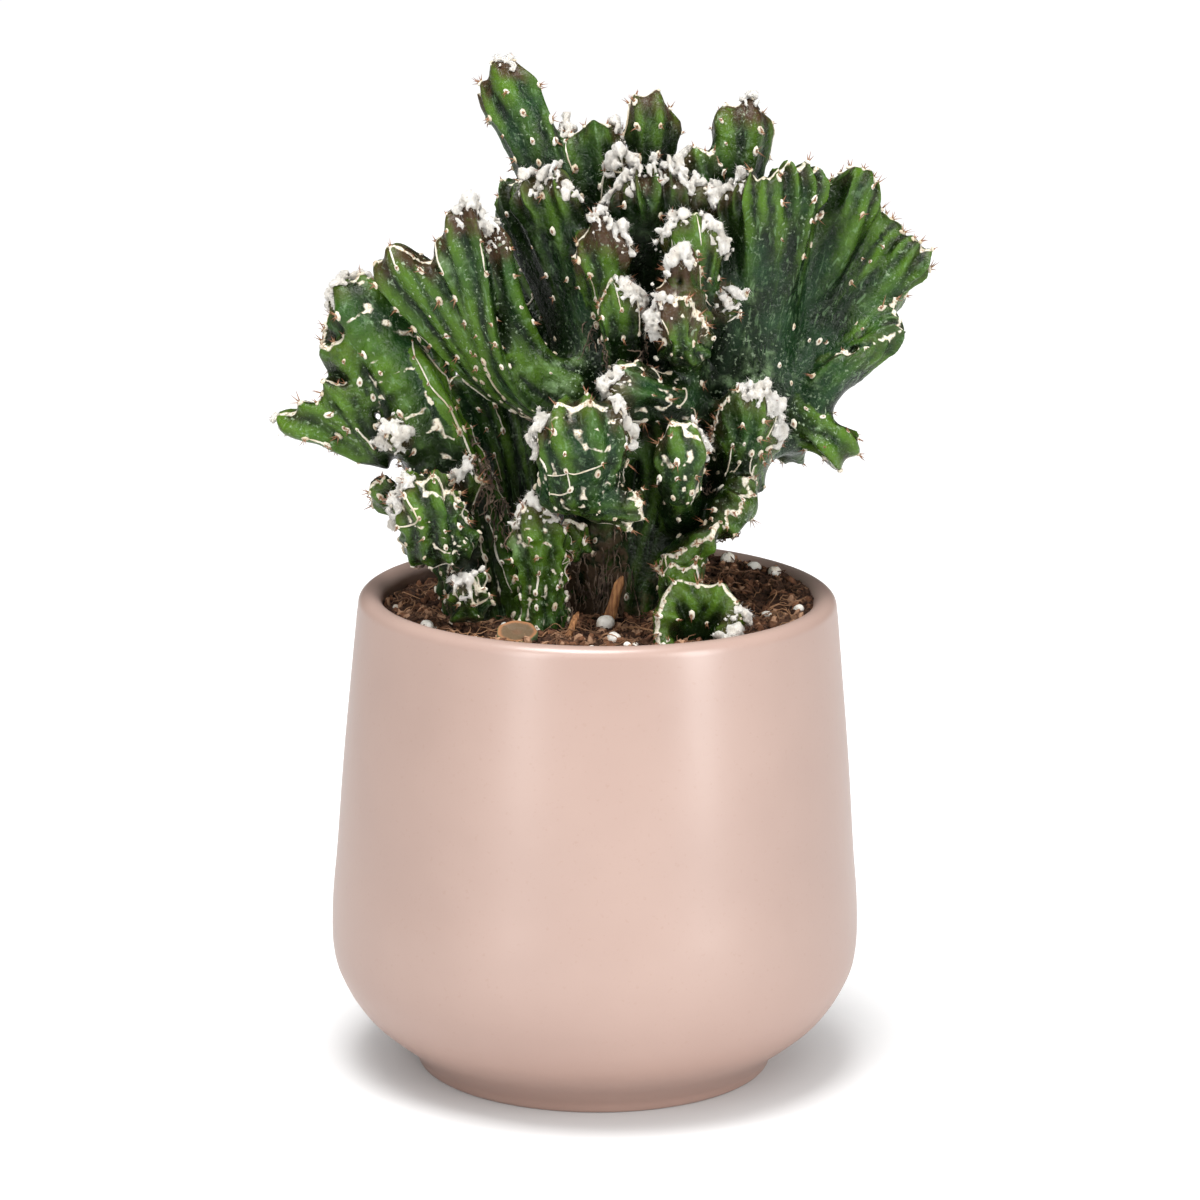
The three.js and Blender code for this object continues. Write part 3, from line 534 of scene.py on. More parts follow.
pot = mesh_object("glazed_pot", np.column_stack([outline[:, 0], 0 * outline[:, 0], outline[:, 1]]))
run(lathe_tree(), pot, Sides=144, Material=glaze_finish())
face_outwards(pot)
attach(pot, "root")
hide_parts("pot")

# %% [markdown]
# ## The limbs of the plant
#
# Each limb is a sheet of growth lines: they leave a narrow foot side by side and spread to a growing crest.
# A round finger has a short crest and a large fan a long, curled one. The limbs could be sculpted one by
# one. They are given as a few measures each instead, because then one rule makes ribs, areoles, wool and
# spines on all of them. In each row stand where the limb starts (base) and which way it leaves (rise), its
# half width and half thickness there (foot), its half thickness at the crest (lip), and the points of the
# crest. wool names the woolly stretches of the crest, from -1 at its first point to 1 at its last.
#
# A habit adds what a kind of limb has: how deep its ribs are, how far they fade and how far apart they stand
# (ribbed, fade, spacing), whether they fork near the crest, how the crest waves, how scaly it is, how many
# scales have a dry edge (net), how far apart its areoles sit, how many of them are felted, joined by a
# thread of felt or looped by one, and whether its green is light or deep (tone).

# %% Kinds of limb
COLUMN = dict(fade=0.5, felted=0.8, threads=0.08, loops=0.06, scaly=0.6)
SMOOTH_FAN = dict(fade=0.16, ribbed=0.5, felted=0.25, threads=0.0, wave=1.6, waves=3.0, lobes=2.0, teeth=3.6,
                  brown=0.5, forks=1.0, spacing=7.2, tone=-0.8)
FOLDED_FAN = dict(fade=0.7, loops=0.08, spacing=8.4, felted=0.8, threads=0.15, wave=0.8, waves=2.0, lobes=1.2,
                  teeth=0.8)
FINGER = dict(fade=0.6, felted=0.85, threads=0.1, scaly=0.5, teeth=1.0)
SCALY_BUD = dict(fade=0.5, felted=1.0, threads=0.1, loops=0.12, net=1.0, scaly=1.6, bulb=1.0, teeth=0.6,
                 spacing=5.0, apart=5.0)
NECK = dict(fade=0.3, felted=0.2, threads=0.1)
LITTLE_CREST = dict(fade=0.5, felted=0.9, threads=0.2, loops=0.05, net=0.5, wave=0.9, waves=2.0, teeth=1.4,
                    scaly=0.5, forks=0.6)
COIL = dict(LITTLE_CREST, wave=1.0, waves=3.0, fade=0.1, ribbed=0.5, teeth=0.8, scaly=0.0, net=0.0,
            threads=0.0, loops=0.0, spacing=7.0, felted=0.4)
DARK = dict(old=0.8, fade=0.5, felted=0.5, threads=0.15)


def form(habit, name, base, rise, foot, lip, crest, **more):
    """A limb of one habit. What it has beside its measures replaces what the habit says."""
    return dict(habit, name=name, base=base, rise=rise, foot=foot, lip=lip, crest=crest, **more)

# %% Limbs of the left stem, the front offset and the coil on the soil
LIMBS = {}
LIMBS["stem_left"] = [
    form(COLUMN, "tall_column", (-29, -4, 112), (-0.12, 0, 1), (8, 8.5), 5.6,
         [(-67, -1, 197), (-64, -6, 205), (-60, -6, 205.5), (-57, 0, 199)], net=1.0, scaly=1.6, tone=-0.2,
         spacing=6.6, apart=5.6, teeth=1.2, wool=[(-0.85, -0.1), (0.3, 0.85)], old=0.35),
    form(COLUMN, "column_side_rib", (-20, -3, 112), (-0.05, 0, 1), (4, 7), 2.6,
         [(-49, -5, 184), (-46.5, -6, 189), (-42.5, -5, 186)], threads=0.8, felted=1.0),
    form(LITTLE_CREST, "upper_left_lobe", (-54, -3, 174), (-0.7, -0.1, 0.6), (4.5, 4), 2.4,
         [(-60, -6, 192), (-66, -10, 190), (-69, -7, 188), (-70, 0, 191), (-66, 3, 193)]),
    form(LITTLE_CREST, "middle_left_lobe", (-54, -5, 160), (-0.5, -0.2, 0.9), (3.8, 3.2), 2.6,
         [(-70, -5, 170), (-70, -7, 178), (-66, -8, 180), (-62, -6, 175)]),
    form(FINGER, "pointing_left_stub", (-52, -3, 160), (-1, 0, 0.2), (4, 3.6), 3.6,
         [(-77, -1, 166), (-79.5, -3, 169.5), (-76, -5, 173), (-69, -4, 174.5)], wool=[(-1, -0.5)]),
    form(LITTLE_CREST, "lower_left_stub", (-45, -4, 147), (-0.9, -0.3, 0.2), (4, 3.5), 3.2,
         [(-57, -6, 147), (-58, -9, 152), (-54, -11, 157)]),
    form(LITTLE_CREST, "woolly_knob", (-47, -4, 161), (-0.3, -1, 0.3), (3.5, 3.5), 3.5,
         [(-55, -15, 165), (-52, -18, 170), (-48, -16, 168)], wool=[(-1, 1)]),
    form(SCALY_BUD, "low_woolly_stub", (-38, -20, 137), (-0.2, -0.35, 0.9), (10, 7.5), 7,
         [(-51, -25, 150), (-48, -29, 157), (-41, -30, 159), (-35, -27, 153)], wool=[(-1, -0.1)]),
    form(SCALY_BUD, "low_side_bud", (-33, -20, 122), (0.1, -0.4, 0.9), (5, 5), 4.4,
         [(-36, -27, 130), (-33, -29, 134), (-29, -28, 131)], wool=[(-0.6, 0.4)], old=0.6),
    form(LITTLE_CREST, "column_flake", (-37, -9, 146), (0.2, -1, 0.5), (3.5, 3), 2.4,
         [(-37, -18, 156), (-33, -19, 161), (-29, -17, 157)], wool=[(-0.6, 0.2)]),
    form(COLUMN, "back_left_stub", (-36, 6, 158), (-0.3, 0.8, 0.5), (4.5, 4.5), 4.5,
         [(-54, 22, 178), (-48, 30, 188), (-38, 28, 186)], wool=[(-0.5, 0.7)]),
]
LIMBS["front_offset"] = [
    form(SCALY_BUD, "front_finger", (-14, -15, 112), (0, 0, 1), (5.8, 5.6), 5.2,
         [(-20, -19, 145), (-18, -22, 151), (-13, -22, 151), (-10, -18, 144)], bulb=0.0,
         wool=[(-0.8, 0.5)]),
]
LIMBS["soil_crest"] = [
    form(COIL, "coil", (24, -24, 112), (0, -0.2, 1), (7, 4.5), 3.2,
         [(20.5, -39, 119), (15.5, -37, 121), (14.5, -34, 127), (17.5, -31, 132.5), (24, -30, 134),
         (31, -31, 133.5), (35, -34, 129), (35, -37.5, 122.5), (30, -39.5, 119)], wool=[(0.5, 0.9)]),
    form(COIL, "lobe_above_coil", (20, -17, 116), (0, -0.2, 1), (6, 4), 2.8,
         [(15, -23, 134), (18, -25, 137), (24, -26, 137), (26.5, -24, 132)]),
    form(COIL, "foot_of_coil", (20, -16, 108), (0.3, 0, 1), (7, 5), 4,
         [(17, -20, 124), (24, -20, 127), (31, -20, 124)]),
]
print("limbs:", sum(len(limbs) for limbs in LIMBS.values()))

# %% Limbs of the main plant: trunks and fans
LIMBS["stem_main"] = [
    form(DARK, "woody_trunk", (0, 2, 112), (0, 0, 1), (9, 8), 10,
         [(-12, 0, 171), (0, 0, 175), (12, 0, 172)], old=1.3, fade=0.3, threads=0.0, felted=0.2),
    form(NECK, "right_trunk", (14, 3, 112), (0.05, 0, 1), (12, 9), 9,
         [(8, 0, 166), (26, 0, 172), (42, 2, 166)], old=0.5),
    form(SMOOTH_FAN, "right_fan_front", (38, 0, 160), (-0.1, -0.1, 1), (13, 9), 3.6,
         [(29, -5, 226), (35, -12, 232), (44, -14, 236), (51, -9, 235), (57, 0, 229)], wool=[(-1, -0.45)]),
    form(SMOOTH_FAN, "right_fan_back", (41, 4, 163), (0.3, 0, 1), (13, 9), 3.6,
         [(53, 8, 225), (57, 5, 231), (64, 1, 234), (68.5, 1, 230), (71, 8, 221), (76, 5, 219),
         (80, 0, 215), (82, 3, 208)]),
    form(SMOOTH_FAN, "right_fan_low", (39, 0, 170), (1, -0.1, 0.2), (12, 8), 3.6,
         [(77, 6, 206), (76, -1, 200), (72.5, -8, 194), (68, -9, 189.5), (59.5, -5, 186.5), (56, 3, 181)]),
    form(FINGER, "low_right_finger", (46, -3, 175), (0.6, -0.1, -0.6), (5, 4.5), 5.6,
         [(56.5, -7, 161.5), (60.5, -8, 158.5), (64.5, -7, 161.5), (65.5, -5, 166)]),
    form(DARK, "dark_stub", (42, 8, 164), (0.8, 0.1, -0.3), (4, 3.5), 3.5,
         [(48, 10, 156), (53, 10, 157), (54, 10, 161)]),
    form(FOLDED_FAN, "left_fan", (-2, -5, 177), (-1, 0, -0.22), (11, 9), 4.4,
         [(-56, -6, 204), (-55, -12, 212), (-50, -16, 216), (-44, -15, 211), (-40.5, -17, 217),
         (-37, -20, 225), (-32, -21, 227.5), (-28.5, -20, 222), (-28, -19, 214)], wool=[(0.4, 0.85)],
         brown=0.95),
    form(SMOOTH_FAN, "centre_left_fan", (1, -1, 169), (-0.15, -0.05, 1), (9, 8), 4.4,
         [(-26, 7, 220), (-23.5, 1, 228), (-17, -7, 231), (-11, -11, 232), (-7, -8, 225)],
         wool=[(0.0, 0.9)], fade=0.3),
    form(SMOOTH_FAN, "centre_fan", (12, 2, 169), (0, 0, 1), (9, 8), 4.8,
         [(3, -2, 223), (5, -8, 231), (12, -10, 235), (19, -8, 232), (22, -3, 223)], wool=[(-0.8, 0.7)],
         fade=0.3),
    form(DARK, "back_centre_fan", (20, 6, 160), (0.05, 0.2, 1), (11, 6), 4.2,
         [(2, 16, 210), (12, 30, 223), (26, 32, 226), (36, 22, 214)], wool=[(-0.5, 0.1)]),
    form(COLUMN, "back_left_fan", (-6, 4, 160), (-0.2, 0.6, 1), (6, 5), 4.2,
         [(-32, 18, 186), (-28, 30, 204), (-12, 36, 210), (2, 30, 202)], wool=[(0.1, 0.7)]),
    form(DARK, "back_left_trunk", (-13, 12, 112), (-0.1, 0.1, 1), (9, 8), 6,
         [(-40, 12, 175), (-32, 16, 181), (-22, 18, 184), (-10, 14, 182)]),
]

# %% Limbs of the main plant: fingers at the top
LIMBS["stem_main"] += [
    form(FINGER, "top_left_finger", (-5, 8, 206), (-0.3, 0, 1), (7.5, 7), 5.6,
         [(-30.5, 12, 249), (-28, 11, 257.5), (-23, 11, 259), (-16.5, 12, 250)], wool=[(-0.15, 0.2)],
         brown=1.0),
    form(LITTLE_CREST, "top_left_knob", (-13, 10, 218), (0.2, 0, 1), (3, 3), 2.4,
         [(-10, 11, 240), (-9, 11, 243), (-7, 11, 241)], wool=[(-1, 1)]),
    form(LITTLE_CREST, "top_small_fan", (0, 8, 201), (-0.05, 0, 1), (7, 6), 3.6,
         [(-8, 10, 238), (-5, 8, 243), (1, 8, 244), (6, 10, 240)], wool=[(0.5, 1)]),
    form(FINGER, "top_middle_finger", (11, 10, 213), (0, 0, 1), (5, 5), 4.4,
         [(6, 9, 248), (8, 9, 250.5), (13, 9, 251), (16.5, 10, 248), (16.5, 12, 243)], brown=1.0),
    form(LITTLE_CREST, "top_middle_knob", (3, 4, 222), (0.1, -0.4, 1), (3, 3), 2.6,
         [(2, -1, 235), (5, -2, 238), (8, 0, 235)], wool=[(-1, 1)]),
    form(FINGER, "top_right_finger", (33, 8, 206), (0, 0, 1), (5.5, 6), 5.0,
         [(29.5, 10, 245), (31, 8, 248), (36, 8, 249), (40, 10, 248), (40, 12, 243)], wool=[(-0.1, 0.25)],
         brown=1.0),
    form(LITTLE_CREST, "top_little_fan", (25, 6, 209), (0, 0, 1), (4, 3.5), 3,
         [(18, 4, 232), (22, 2, 238), (27, 2, 238), (29, 4, 232)], wool=[(-0.9, -0.2)]),
]

# %% Limbs of the main plant: crests and buds in front
LIMBS["stem_main"] += [
    form(LITTLE_CREST, "upper_woolly_crest", (23, -5, 191), (0, -0.5, 1), (5.5, 4.5), 4,
         [(15, -15, 219), (19, -18, 225), (25, -18, 224), (31, -15, 217)], wool=[(-1, -0.1), (0.2, 1)]),
    form(LITTLE_CREST, "middle_woolly_crest", (21, -9, 190), (-0.1, -0.7, 1), (4, 3.5), 4,
         [(16, -22, 211), (19, -25, 217), (24, -23, 213)], wool=[(-0.8, 0.6)], brown=1.0),
    form(LITTLE_CREST, "side_woolly_crest", (26, 0, 213), (0, -0.2, 1), (4, 3.5), 3.2,
         [(21, -4, 227), (25, -7, 231), (31, -4, 228)], wool=[(-1, 0.8)]),
    form(LITTLE_CREST, "hanging_woolly_crest", (27, -2, 194), (0.3, -1, 0.4), (3.2, 3), 2.8,
         [(28, -11, 206), (31, -14, 203), (36, -12, 205)], wool=[(-1, 1)]),
    form(FINGER, "middle_stub", (4, -5, 193), (-0.2, -0.6, 1), (5.5, 5), 5.6,
         [(-7, -16, 213), (-4, -20, 221), (2, -21, 223), (7, -17, 216)], wool=[(-0.1, 0.9)], brown=1.1),
    form(LITTLE_CREST, "middle_low_crest", (7, -8, 182), (-0.1, -0.8, 0.8), (5, 4.5), 4,
         [(-1, -20, 200), (1, -23, 207), (7, -23, 208), (12, -20, 202)], wool=[(0.0, 0.9)]),
    form(NECK, "ball_neck", (23, -4, 178), (-0.2, -0.7, 0.6), (6, 6), 5,
         [(16, -19, 192), (22, -21, 194), (27, -18, 191)]),
    form(SCALY_BUD, "round_ball", (22, -18, 189), (-0.15, -0.4, 0.9), (8, 7.5), 7.6,
         [(13, -25, 197), (15, -29, 204), (21, -30, 205), (26, -26, 198)], wool=[(-1, -0.1)], brown=1.0),
    form(SCALY_BUD, "leaning_left_stub", (25, -10, 177), (-0.8, -0.7, 0), (6.5, 6.5), 6.4,
         [(4, -27, 176), (2, -31, 181), (4, -31, 187), (9, -28, 189)], wool=[(-0.6, 0.5)], scaly=0.6,
         bulb=0.0),
    form(NECK, "mitten_neck", (-2, -4, 152), (0, -1, 0.3), (7, 7), 7,
         [(-8, -25, 165), (0, -27, 168), (6, -25, 165)]),
    form(SCALY_BUD, "front_mitten", (-4, -28, 151), (-0.1, -0.2, 1), (11, 9), 9.5,
         [(-15, -33, 169), (-13, -37, 177), (-6, -40, 180), (3, -38, 179), (7, -33, 172)],
         wool=[(-1, -0.45), (0.45, 1)], brown=0.6),
    form(SCALY_BUD, "mitten_claw", (-2, -31, 155), (1, -0.3, -0.3), (5, 5), 3.4,
         [(7, -36, 150), (11, -38, 154), (9, -39, 158)]),
    form(NECK, "right_stub_neck", (22, -5, 146), (0, -1, 0.4), (6, 6), 5,
         [(15, -25, 157), (21, -27, 160), (25, -24, 157)]),
    form(SCALY_BUD, "front_right_stub", (20, -27, 153), (0, -0.3, 1), (6, 5.6), 5.8,
         [(15, -31, 168), (17, -35, 174), (22, -35, 175), (25, -30, 169)], wool=[(0.4, 1)], scaly=0.7),
    form(LITTLE_CREST, "right_low_crest", (35, -5, 152), (0.1, -0.5, 1), (7, 5), 5,
         [(27, -17, 168), (31, -22, 178), (38, -24, 183), (44, -21, 178), (46, -15, 166)],
         wool=[(-0.2, 0.9)]),
    form(LITTLE_CREST, "right_low_lobes", (27, -8, 145), (0.7, -0.5, 0.2), (5.5, 4.5), 4.6,
         [(28.5, -20, 146), (32.5, -24, 150), (36.5, -22, 154), (38.5, -16, 160)], wave=1.5, waves=4.0),
    form(FINGER, "pointed_lobe", (17, -10, 132), (0.5, -0.4, 0.7), (4.5, 3.5), 3.4,
         [(24, -22, 142), (28.5, -24, 145), (30, -22, 148)]),
    form(SCALY_BUD, "little_trunk_lobe", (-5, -10, 137), (-0.4, -0.6, 0.5), (5, 4), 3.8,
         [(-11, -14, 137), (-9, -17, 145), (-4, -15, 145)]),
    form(LITTLE_CREST, "trunk_fold", (19, -8, 125), (0.6, -0.7, 0.3), (5, 4), 3.2,
         [(14, -20, 136), (20, -23, 141), (25.5, -20, 139)]),
]

# %% Limbs of the main plant: stubs behind
LIMBS["stem_main"] += [
    form(COLUMN, "back_low_stub", (18, 4, 142), (0.1, 1, 0.3), (6, 5), 5.4,
         [(4, 38, 150), (10, 46, 162), (24, 48, 164), (34, 40, 154)], wool=[(-0.4, 0.1)]),
    form(COLUMN, "back_middle_stub", (6, 6, 158), (0.1, 1, 0.5), (5.5, 5), 5.6,
         [(-12, 38, 172), (-2, 46, 182), (12, 46, 184), (20, 36, 174)], wool=[(-0.2, 0.5)]),
    form(COLUMN, "back_right_stub", (38, 4, 166), (0.5, 0.8, 0.4), (5.5, 5), 5,
         [(38, 30, 176), (46, 38, 188), (60, 36, 190), (68, 26, 182)], wool=[(-0.3, 0.3)]),
]
print("limbs:", sum(len(limbs) for limbs in LIMBS.values()))

# %% [markdown]
# ## From a sheet to a skin
#
# A growth line is a curve with a handle at each end: it leaves the foot along the rise and reaches the
# crest square to it. The skin is wrapped round the sheet at half the thickness to each side, and closes in
# a half round at the crest. On the real plant nothing is straight, so a fan also gets a slow wave.

# %% Growth lines
LEAVING, ARRIVING = 0.38, 0.34


def unit(v):
    return v / np.maximum(np.linalg.norm(v, axis=-1, keepdims=True), 1e-9)


def smoothstep(x, low, high):
    x = np.clip((x - low) / (high - low), 0, 1)
    return x * x * (3 - 2 * x)


def crest_point(limb, t):
    return np.stack([np.interp((t + 1) / 2, limb.along, limb.line[:, k]) for k in range(3)], -1)


def sheet(limb, t, s):
    """Points of the middle sheet. t runs across from -1 to 1, s from the foot at 0 to the crest at 1."""
    t, s = np.broadcast_arrays(t, s)
    end = crest_point(limb, t)
    t, s = t[..., None], s[..., None]
    start = limb.base + limb.across * t * limb.foot[0]
    reach = np.linalg.norm(end - start, axis=-1, keepdims=True)
    leave = start + limb.rise * reach * LEAVING
    near = end - unit(end - limb.hub) * reach * ARRIVING
    r = 1 - s
    return start * r**3 + 3 * leave * r * r * s + 3 * near * r * s * s + end * s**3

# %% Skin
HUB_SHARE = 0.3
BULB_SHARE = 0.35
STEP = 0.02
WAVES_FROM = (0.35, 1)


def measure(given):
    """Works out what the sheet and the skin of a limb need."""
    limb = SimpleNamespace(**{**HABIT, **given})
    limb.base = np.array(limb.base, float)
    limb.rise = unit(np.array(limb.rise, float))
    limb.line, limb.along = smooth_line(limb.crest)
    across = limb.line[-1] - limb.line[0]
    limb.across = unit(across - limb.rise * (across @ limb.rise))
    height = np.linalg.norm(limb.base - crest_point(limb, np.array(0.0)))
    limb.hub = limb.base + limb.rise * height * HUB_SHARE
    corners = sheet(limb, np.array([0.0, 0.0, -1.0, 1.0]), np.array([0.0, 1.0, 1.0, 1.0]))
    limb.length = np.linalg.norm(corners[0] - corners[1])
    limb.width = np.linalg.norm(corners[2] - corners[3])
    limb.flatness = min(0.85, max(0.0, limb.width / (6 * limb.lip) - 0.25))
    limb.lip_start = 1 - min(0.45, 1.15 * limb.lip / limb.length)
    return limb


def across_at(limb, u):
    """Where on the sheet, from -1 to 1, the skin lies at the turn u, from 0 to 1 round the limb."""
    ramp = np.where(u <= 0.5, 1 - 4 * u, 4 * u - 3)
    return (1 - limb.flatness) * np.cos(math.tau * u) + limb.flatness * ramp


def skin(limb, u, s):
    t = across_at(limb, u)
    face = np.where(u <= 0.5, 1, -1)
    bulge = np.sqrt(np.maximum(0, 1 - np.abs(t) ** (2 + 2 * limb.flatness))) * face
    closing = np.clip((s - limb.lip_start) / (1 - limb.lip_start), 0, 1)
    swell = np.minimum(1, s / limb.lip_start) ** 0.9
    rounded = 1 - limb.bulb * (1 - np.sqrt(1 - (1 - np.minimum(1, s / BULB_SHARE)) ** 2))
    thickness = (limb.foot[1] + (limb.lip - limb.foot[1]) * swell) * np.sqrt(1 - closing**2) * rounded
    t = t * rounded
    along = sheet(limb, t, np.minimum(1, s + STEP)) - sheet(limb, t, np.maximum(0, s - STEP))
    over = sheet(limb, t + STEP, s) - sheet(limb, t - STEP, s)
    normal = unit(np.cross(over, along))
    wave = limb.wave * smoothstep(s, *WAVES_FROM) * np.sin(limb.waves * math.pi * t + limb.seed)
    return sheet(limb, t, s) + normal * (thickness * bulge + wave)[..., None]

# %% [markdown]
# ## Ribs, areoles and wool
#
# The ribs run along the growth lines. They are low and broad on old growth, where many have merged, and
# sharp at the crest, where they may fork and which they cut into lobes and teeth. Each rib carries a row of
# areoles, the felted cushions that spines grow from. On a bud it swells into a scale at each of them, and
# the scale ends in a dry, raised edge. The ribs could be a bump in the material, but they make the toothed
# outline of the crests, so they are real relief. The same numbers that raise them are kept on the points,
# for the finish to use.
#
# Parts of a limb are shares of its height, from the foot at 0 to the crest at 1. Depths are measured down
# from the crest, in millimetres.

# %% Measures of ribs and areoles
GRID_STEP = 0.8
RIB_SPACING = 5.8
RIB_DEPTH = 3.0
AREOLE_SPACING = 7.0
AREOLE_SWELL = 0.5
LOBE_WIDTH = 11.0
EDGE_WIDTH = 0.6
AREOLE_WIDTH = 1.6
FOOT_FADE = (0.02, 0.15)
OLD_PART = (0.0, 0.75)
LOBES_FROM, FORKS_FROM, TEETH_FROM = (0.55, 1), (0.74, 0.93), (0.82, 1)
WOOL_DEPTH, BROWN_DEPTH, EDGE_DEPTH = (9.0, 4.0), (13.0, 1.0), (1.5, 0.3)
HABIT = dict(wool=(), wave=0.0, waves=2.0, seed=0.0, fade=0.5, brown=0.5, old=0.25, teeth=0.4, lobes=0.0,
             bulb=0.0, scaly=0.0, felted=0.7, threads=0.3, net=0.0, spacing=RIB_SPACING, ribbed=0.45,
             forks=0.0, loops=0.0, apart=AREOLE_SPACING)
# Spots where the skin gets pale dust and also a painted highlight: a place and a reach, in millimetres.
DUST_AND_HIGHLIGHT_SPOTS = [(-36, -20, 210, 14), (-3, -14, 181, 13), (37, -12, 182, 16), (52, -12, 170, 9), (-26, -28, 143, 9),
         (-28, -20, 122, 9)]


def bumpy(x):
    """A slow, uneven wave between -1 and 1, for what differs from rib to rib."""
    return (np.sin(2.4 * x) + np.sin(5.1 * x + 1.3) + np.sin(0.9 * x + 2.1)) / 3


def highlight_and_dust_near(points):
    """How near the skin is to the listed spots of dust and painted highlight, from 0 to 1."""
    return np.max([np.exp(-((points - place) ** 2).sum(-1) / reach**2) for *place, reach in DUST_AND_HIGHLIGHT_SPOTS], axis=0)


def dry_edges(limb, aside, order, rib, spacing):
    """How near the dry edge of a scale is, from 0 to 1. A scale hangs round its areole in a U."""
    below = order - 0.5 + 1.4 * aside**2
    under = np.abs(below - np.round(below)) * limb.apart
    flank = (0.5 - np.abs(aside)) * spacing
    some = np.clip(0.45 + 1.3 * bumpy(3.1 * rib + 1.7 * np.round(order)), 0, 1)
    return min(1.0, limb.net) * some * np.exp(-((np.minimum(under, flank) / EDGE_WIDTH) ** 2))

# %% The skin of one limb before its ribs
def bare_grid(limb):
    """A grid of skin points: their turns, heights, places and outward directions, and how many ribs fit."""
    rings = max(6, round(limb.length * limb.lip_start / GRID_STEP))
    body = np.linspace(0, limb.lip_start, rings, endpoint=False)
    lip_turn = np.linspace(0, math.pi / 2, max(5, round(2 * limb.lip / GRID_STEP)))
    heights = np.concatenate([body, limb.lip_start + (1 - limb.lip_start) * np.sin(lip_turn)])
    ring = skin(limb, np.linspace(0, 1, 200), np.full(200, limb.lip_start))
    girth = np.linalg.norm(np.diff(ring, axis=0), axis=1).sum()
    ribs = max(4, 2 * round(girth / limb.spacing / 2))
    columns = 2 * ribs * max(2, round(girth / GRID_STEP / ribs / 2))
    u, s = np.meshgrid(np.arange(columns) / columns, heights)
    t = across_at(limb, u)
    flat = skin(limb, u, s)
    round_it = np.roll(flat, -1, 1) - np.roll(flat, 1, 1)
    out = unit(np.cross(np.gradient(flat, axis=0), round_it))
    growth = unit(sheet(limb, t, np.ones_like(s)) - sheet(limb, t, np.full_like(s, 0.94)))
    lobe_count = limb.width / LOBE_WIDTH
    lobe = np.abs(np.sin(math.pi * lobe_count * (t / 2 + 0.06 * np.sin(5 * t + limb.seed)))) ** 0.6
    flat = flat + growth * (limb.lobes * (lobe - 0.6) * smoothstep(s, *LOBES_FROM))[..., None]
    over = smoothstep(s, 0.9, 1)[..., None]
    return u, s, flat, unit(out * (1 - over) + growth * over), ribs


def woolly_at(limb, t):
    """How woolly the crest is at the place t across it, from 0 to 1. The stretches end softly."""
    woolly = np.zeros_like(t)
    for start, end in limb.wool:
        stretch = smoothstep(t, start - 0.1, start + 0.05) * (1 - smoothstep(t, end - 0.05, end + 0.1))
        woolly = np.maximum(woolly, stretch)
    return woolly

# %% Ribs on one limb
def limb_grid(limb):
    """A closed grid of ribbed skin, the numbers that the finish reads, and the rows of areoles."""
    u, s, flat, out, ribs = bare_grid(limb)
    spacing = np.linalg.norm(np.diff(flat, axis=1, append=flat[:, :1]), axis=2).sum(1, keepdims=True) / ribs
    around = math.tau * u
    wander = 0.3 * np.sin(around + limb.seed) * np.sin(2.6 * s + limb.seed) + 0.12 * np.sin(9 * s + around)
    phase = u * ribs + wander
    fork = limb.forks * smoothstep(s, *FORKS_FROM)
    ridge = (0.5 + 0.5 * np.cos(math.tau * phase)) ** 0.6
    ridge += fork * ((0.5 + 0.5 * np.cos(2 * math.tau * phase)) ** 0.6 - ridge)
    rib = np.round(phase) % ribs
    own = bumpy(rib + limb.seed)
    own += fork * (bumpy(np.round(2 * phase) + limb.seed) - own)
    strength = limb.fade * (1 + 0.5 * own) + (1 - limb.fade) * smoothstep(s, limb.ribbed + 0.15 * own, 0.95)
    mean_strength = limb.fade + (1 - limb.fade) * smoothstep(s, limb.ribbed, 0.95)
    depth = np.minimum(RIB_DEPTH, 0.46 * spacing) / (1 + fork)
    step_up = np.linalg.norm(np.diff(flat, axis=0), axis=2)
    to_crest = np.vstack([np.cumsum(step_up[::-1], axis=0)[::-1], np.zeros((1, s.shape[1]))])
    order = (to_crest - 1.5) / limb.apart - 0.5 * (rib % 2) - 0.25 * own
    off = (order - np.round(order)) * limb.apart
    shown = smoothstep(s, *FOOT_FADE)
    swell = AREOLE_SWELL * np.exp(-((off / AREOLE_WIDTH) ** 2)) * ridge**3 * shown
    scale = limb.scaly * (0.5 + 0.5 * np.cos(math.tau * order)) * ridge * shown * (1 - fork)
    tooth = limb.teeth * ((1 + own) * ridge**2 - 0.65) * smoothstep(s, *TEETH_FROM)
    rim = dry_edges(limb, phase - np.round(phase), order, rib, spacing) * shown
    rise = depth * (ridge * strength - 0.5 * mean_strength) + swell + scale + tooth + 0.4 * rim
    other_face = np.roll(rise[:, ::-1], 1, axis=1)
    rise += 0.5 * (other_face - rise) * smoothstep(s, limb.lip_start, 1)
    points = flat + out * rise[..., None]
    woolly = woolly_at(limb, across_at(limb, u))
    values = dict(ridge=ridge * mean_strength, grow=s, wool=woolly * smoothstep(to_crest, *WOOL_DEPTH),
                  tip=limb.brown * smoothstep(to_crest, *BROWN_DEPTH) * (0.55 + 0.45 * woolly),
                  old=limb.old * (1 - smoothstep(s, *OLD_PART)), turn=u * ribs, dust=highlight_and_dust_near(points),
                  rim=np.maximum(rim, 0.9 * smoothstep(to_crest, *EDGE_DEPTH) * (1 - woolly)))
    rows = areole_rows(points, phase, order, ribs)
    return points, out, values, rows, to_crest

# %% Areoles and threads of felt on one limb
SOFTENING = 12
DRIFT_ALONG, DRIFT_ACROSS = 0.7, 0.4
LOOP_STEPS, LOOP_SAG = 14, 3


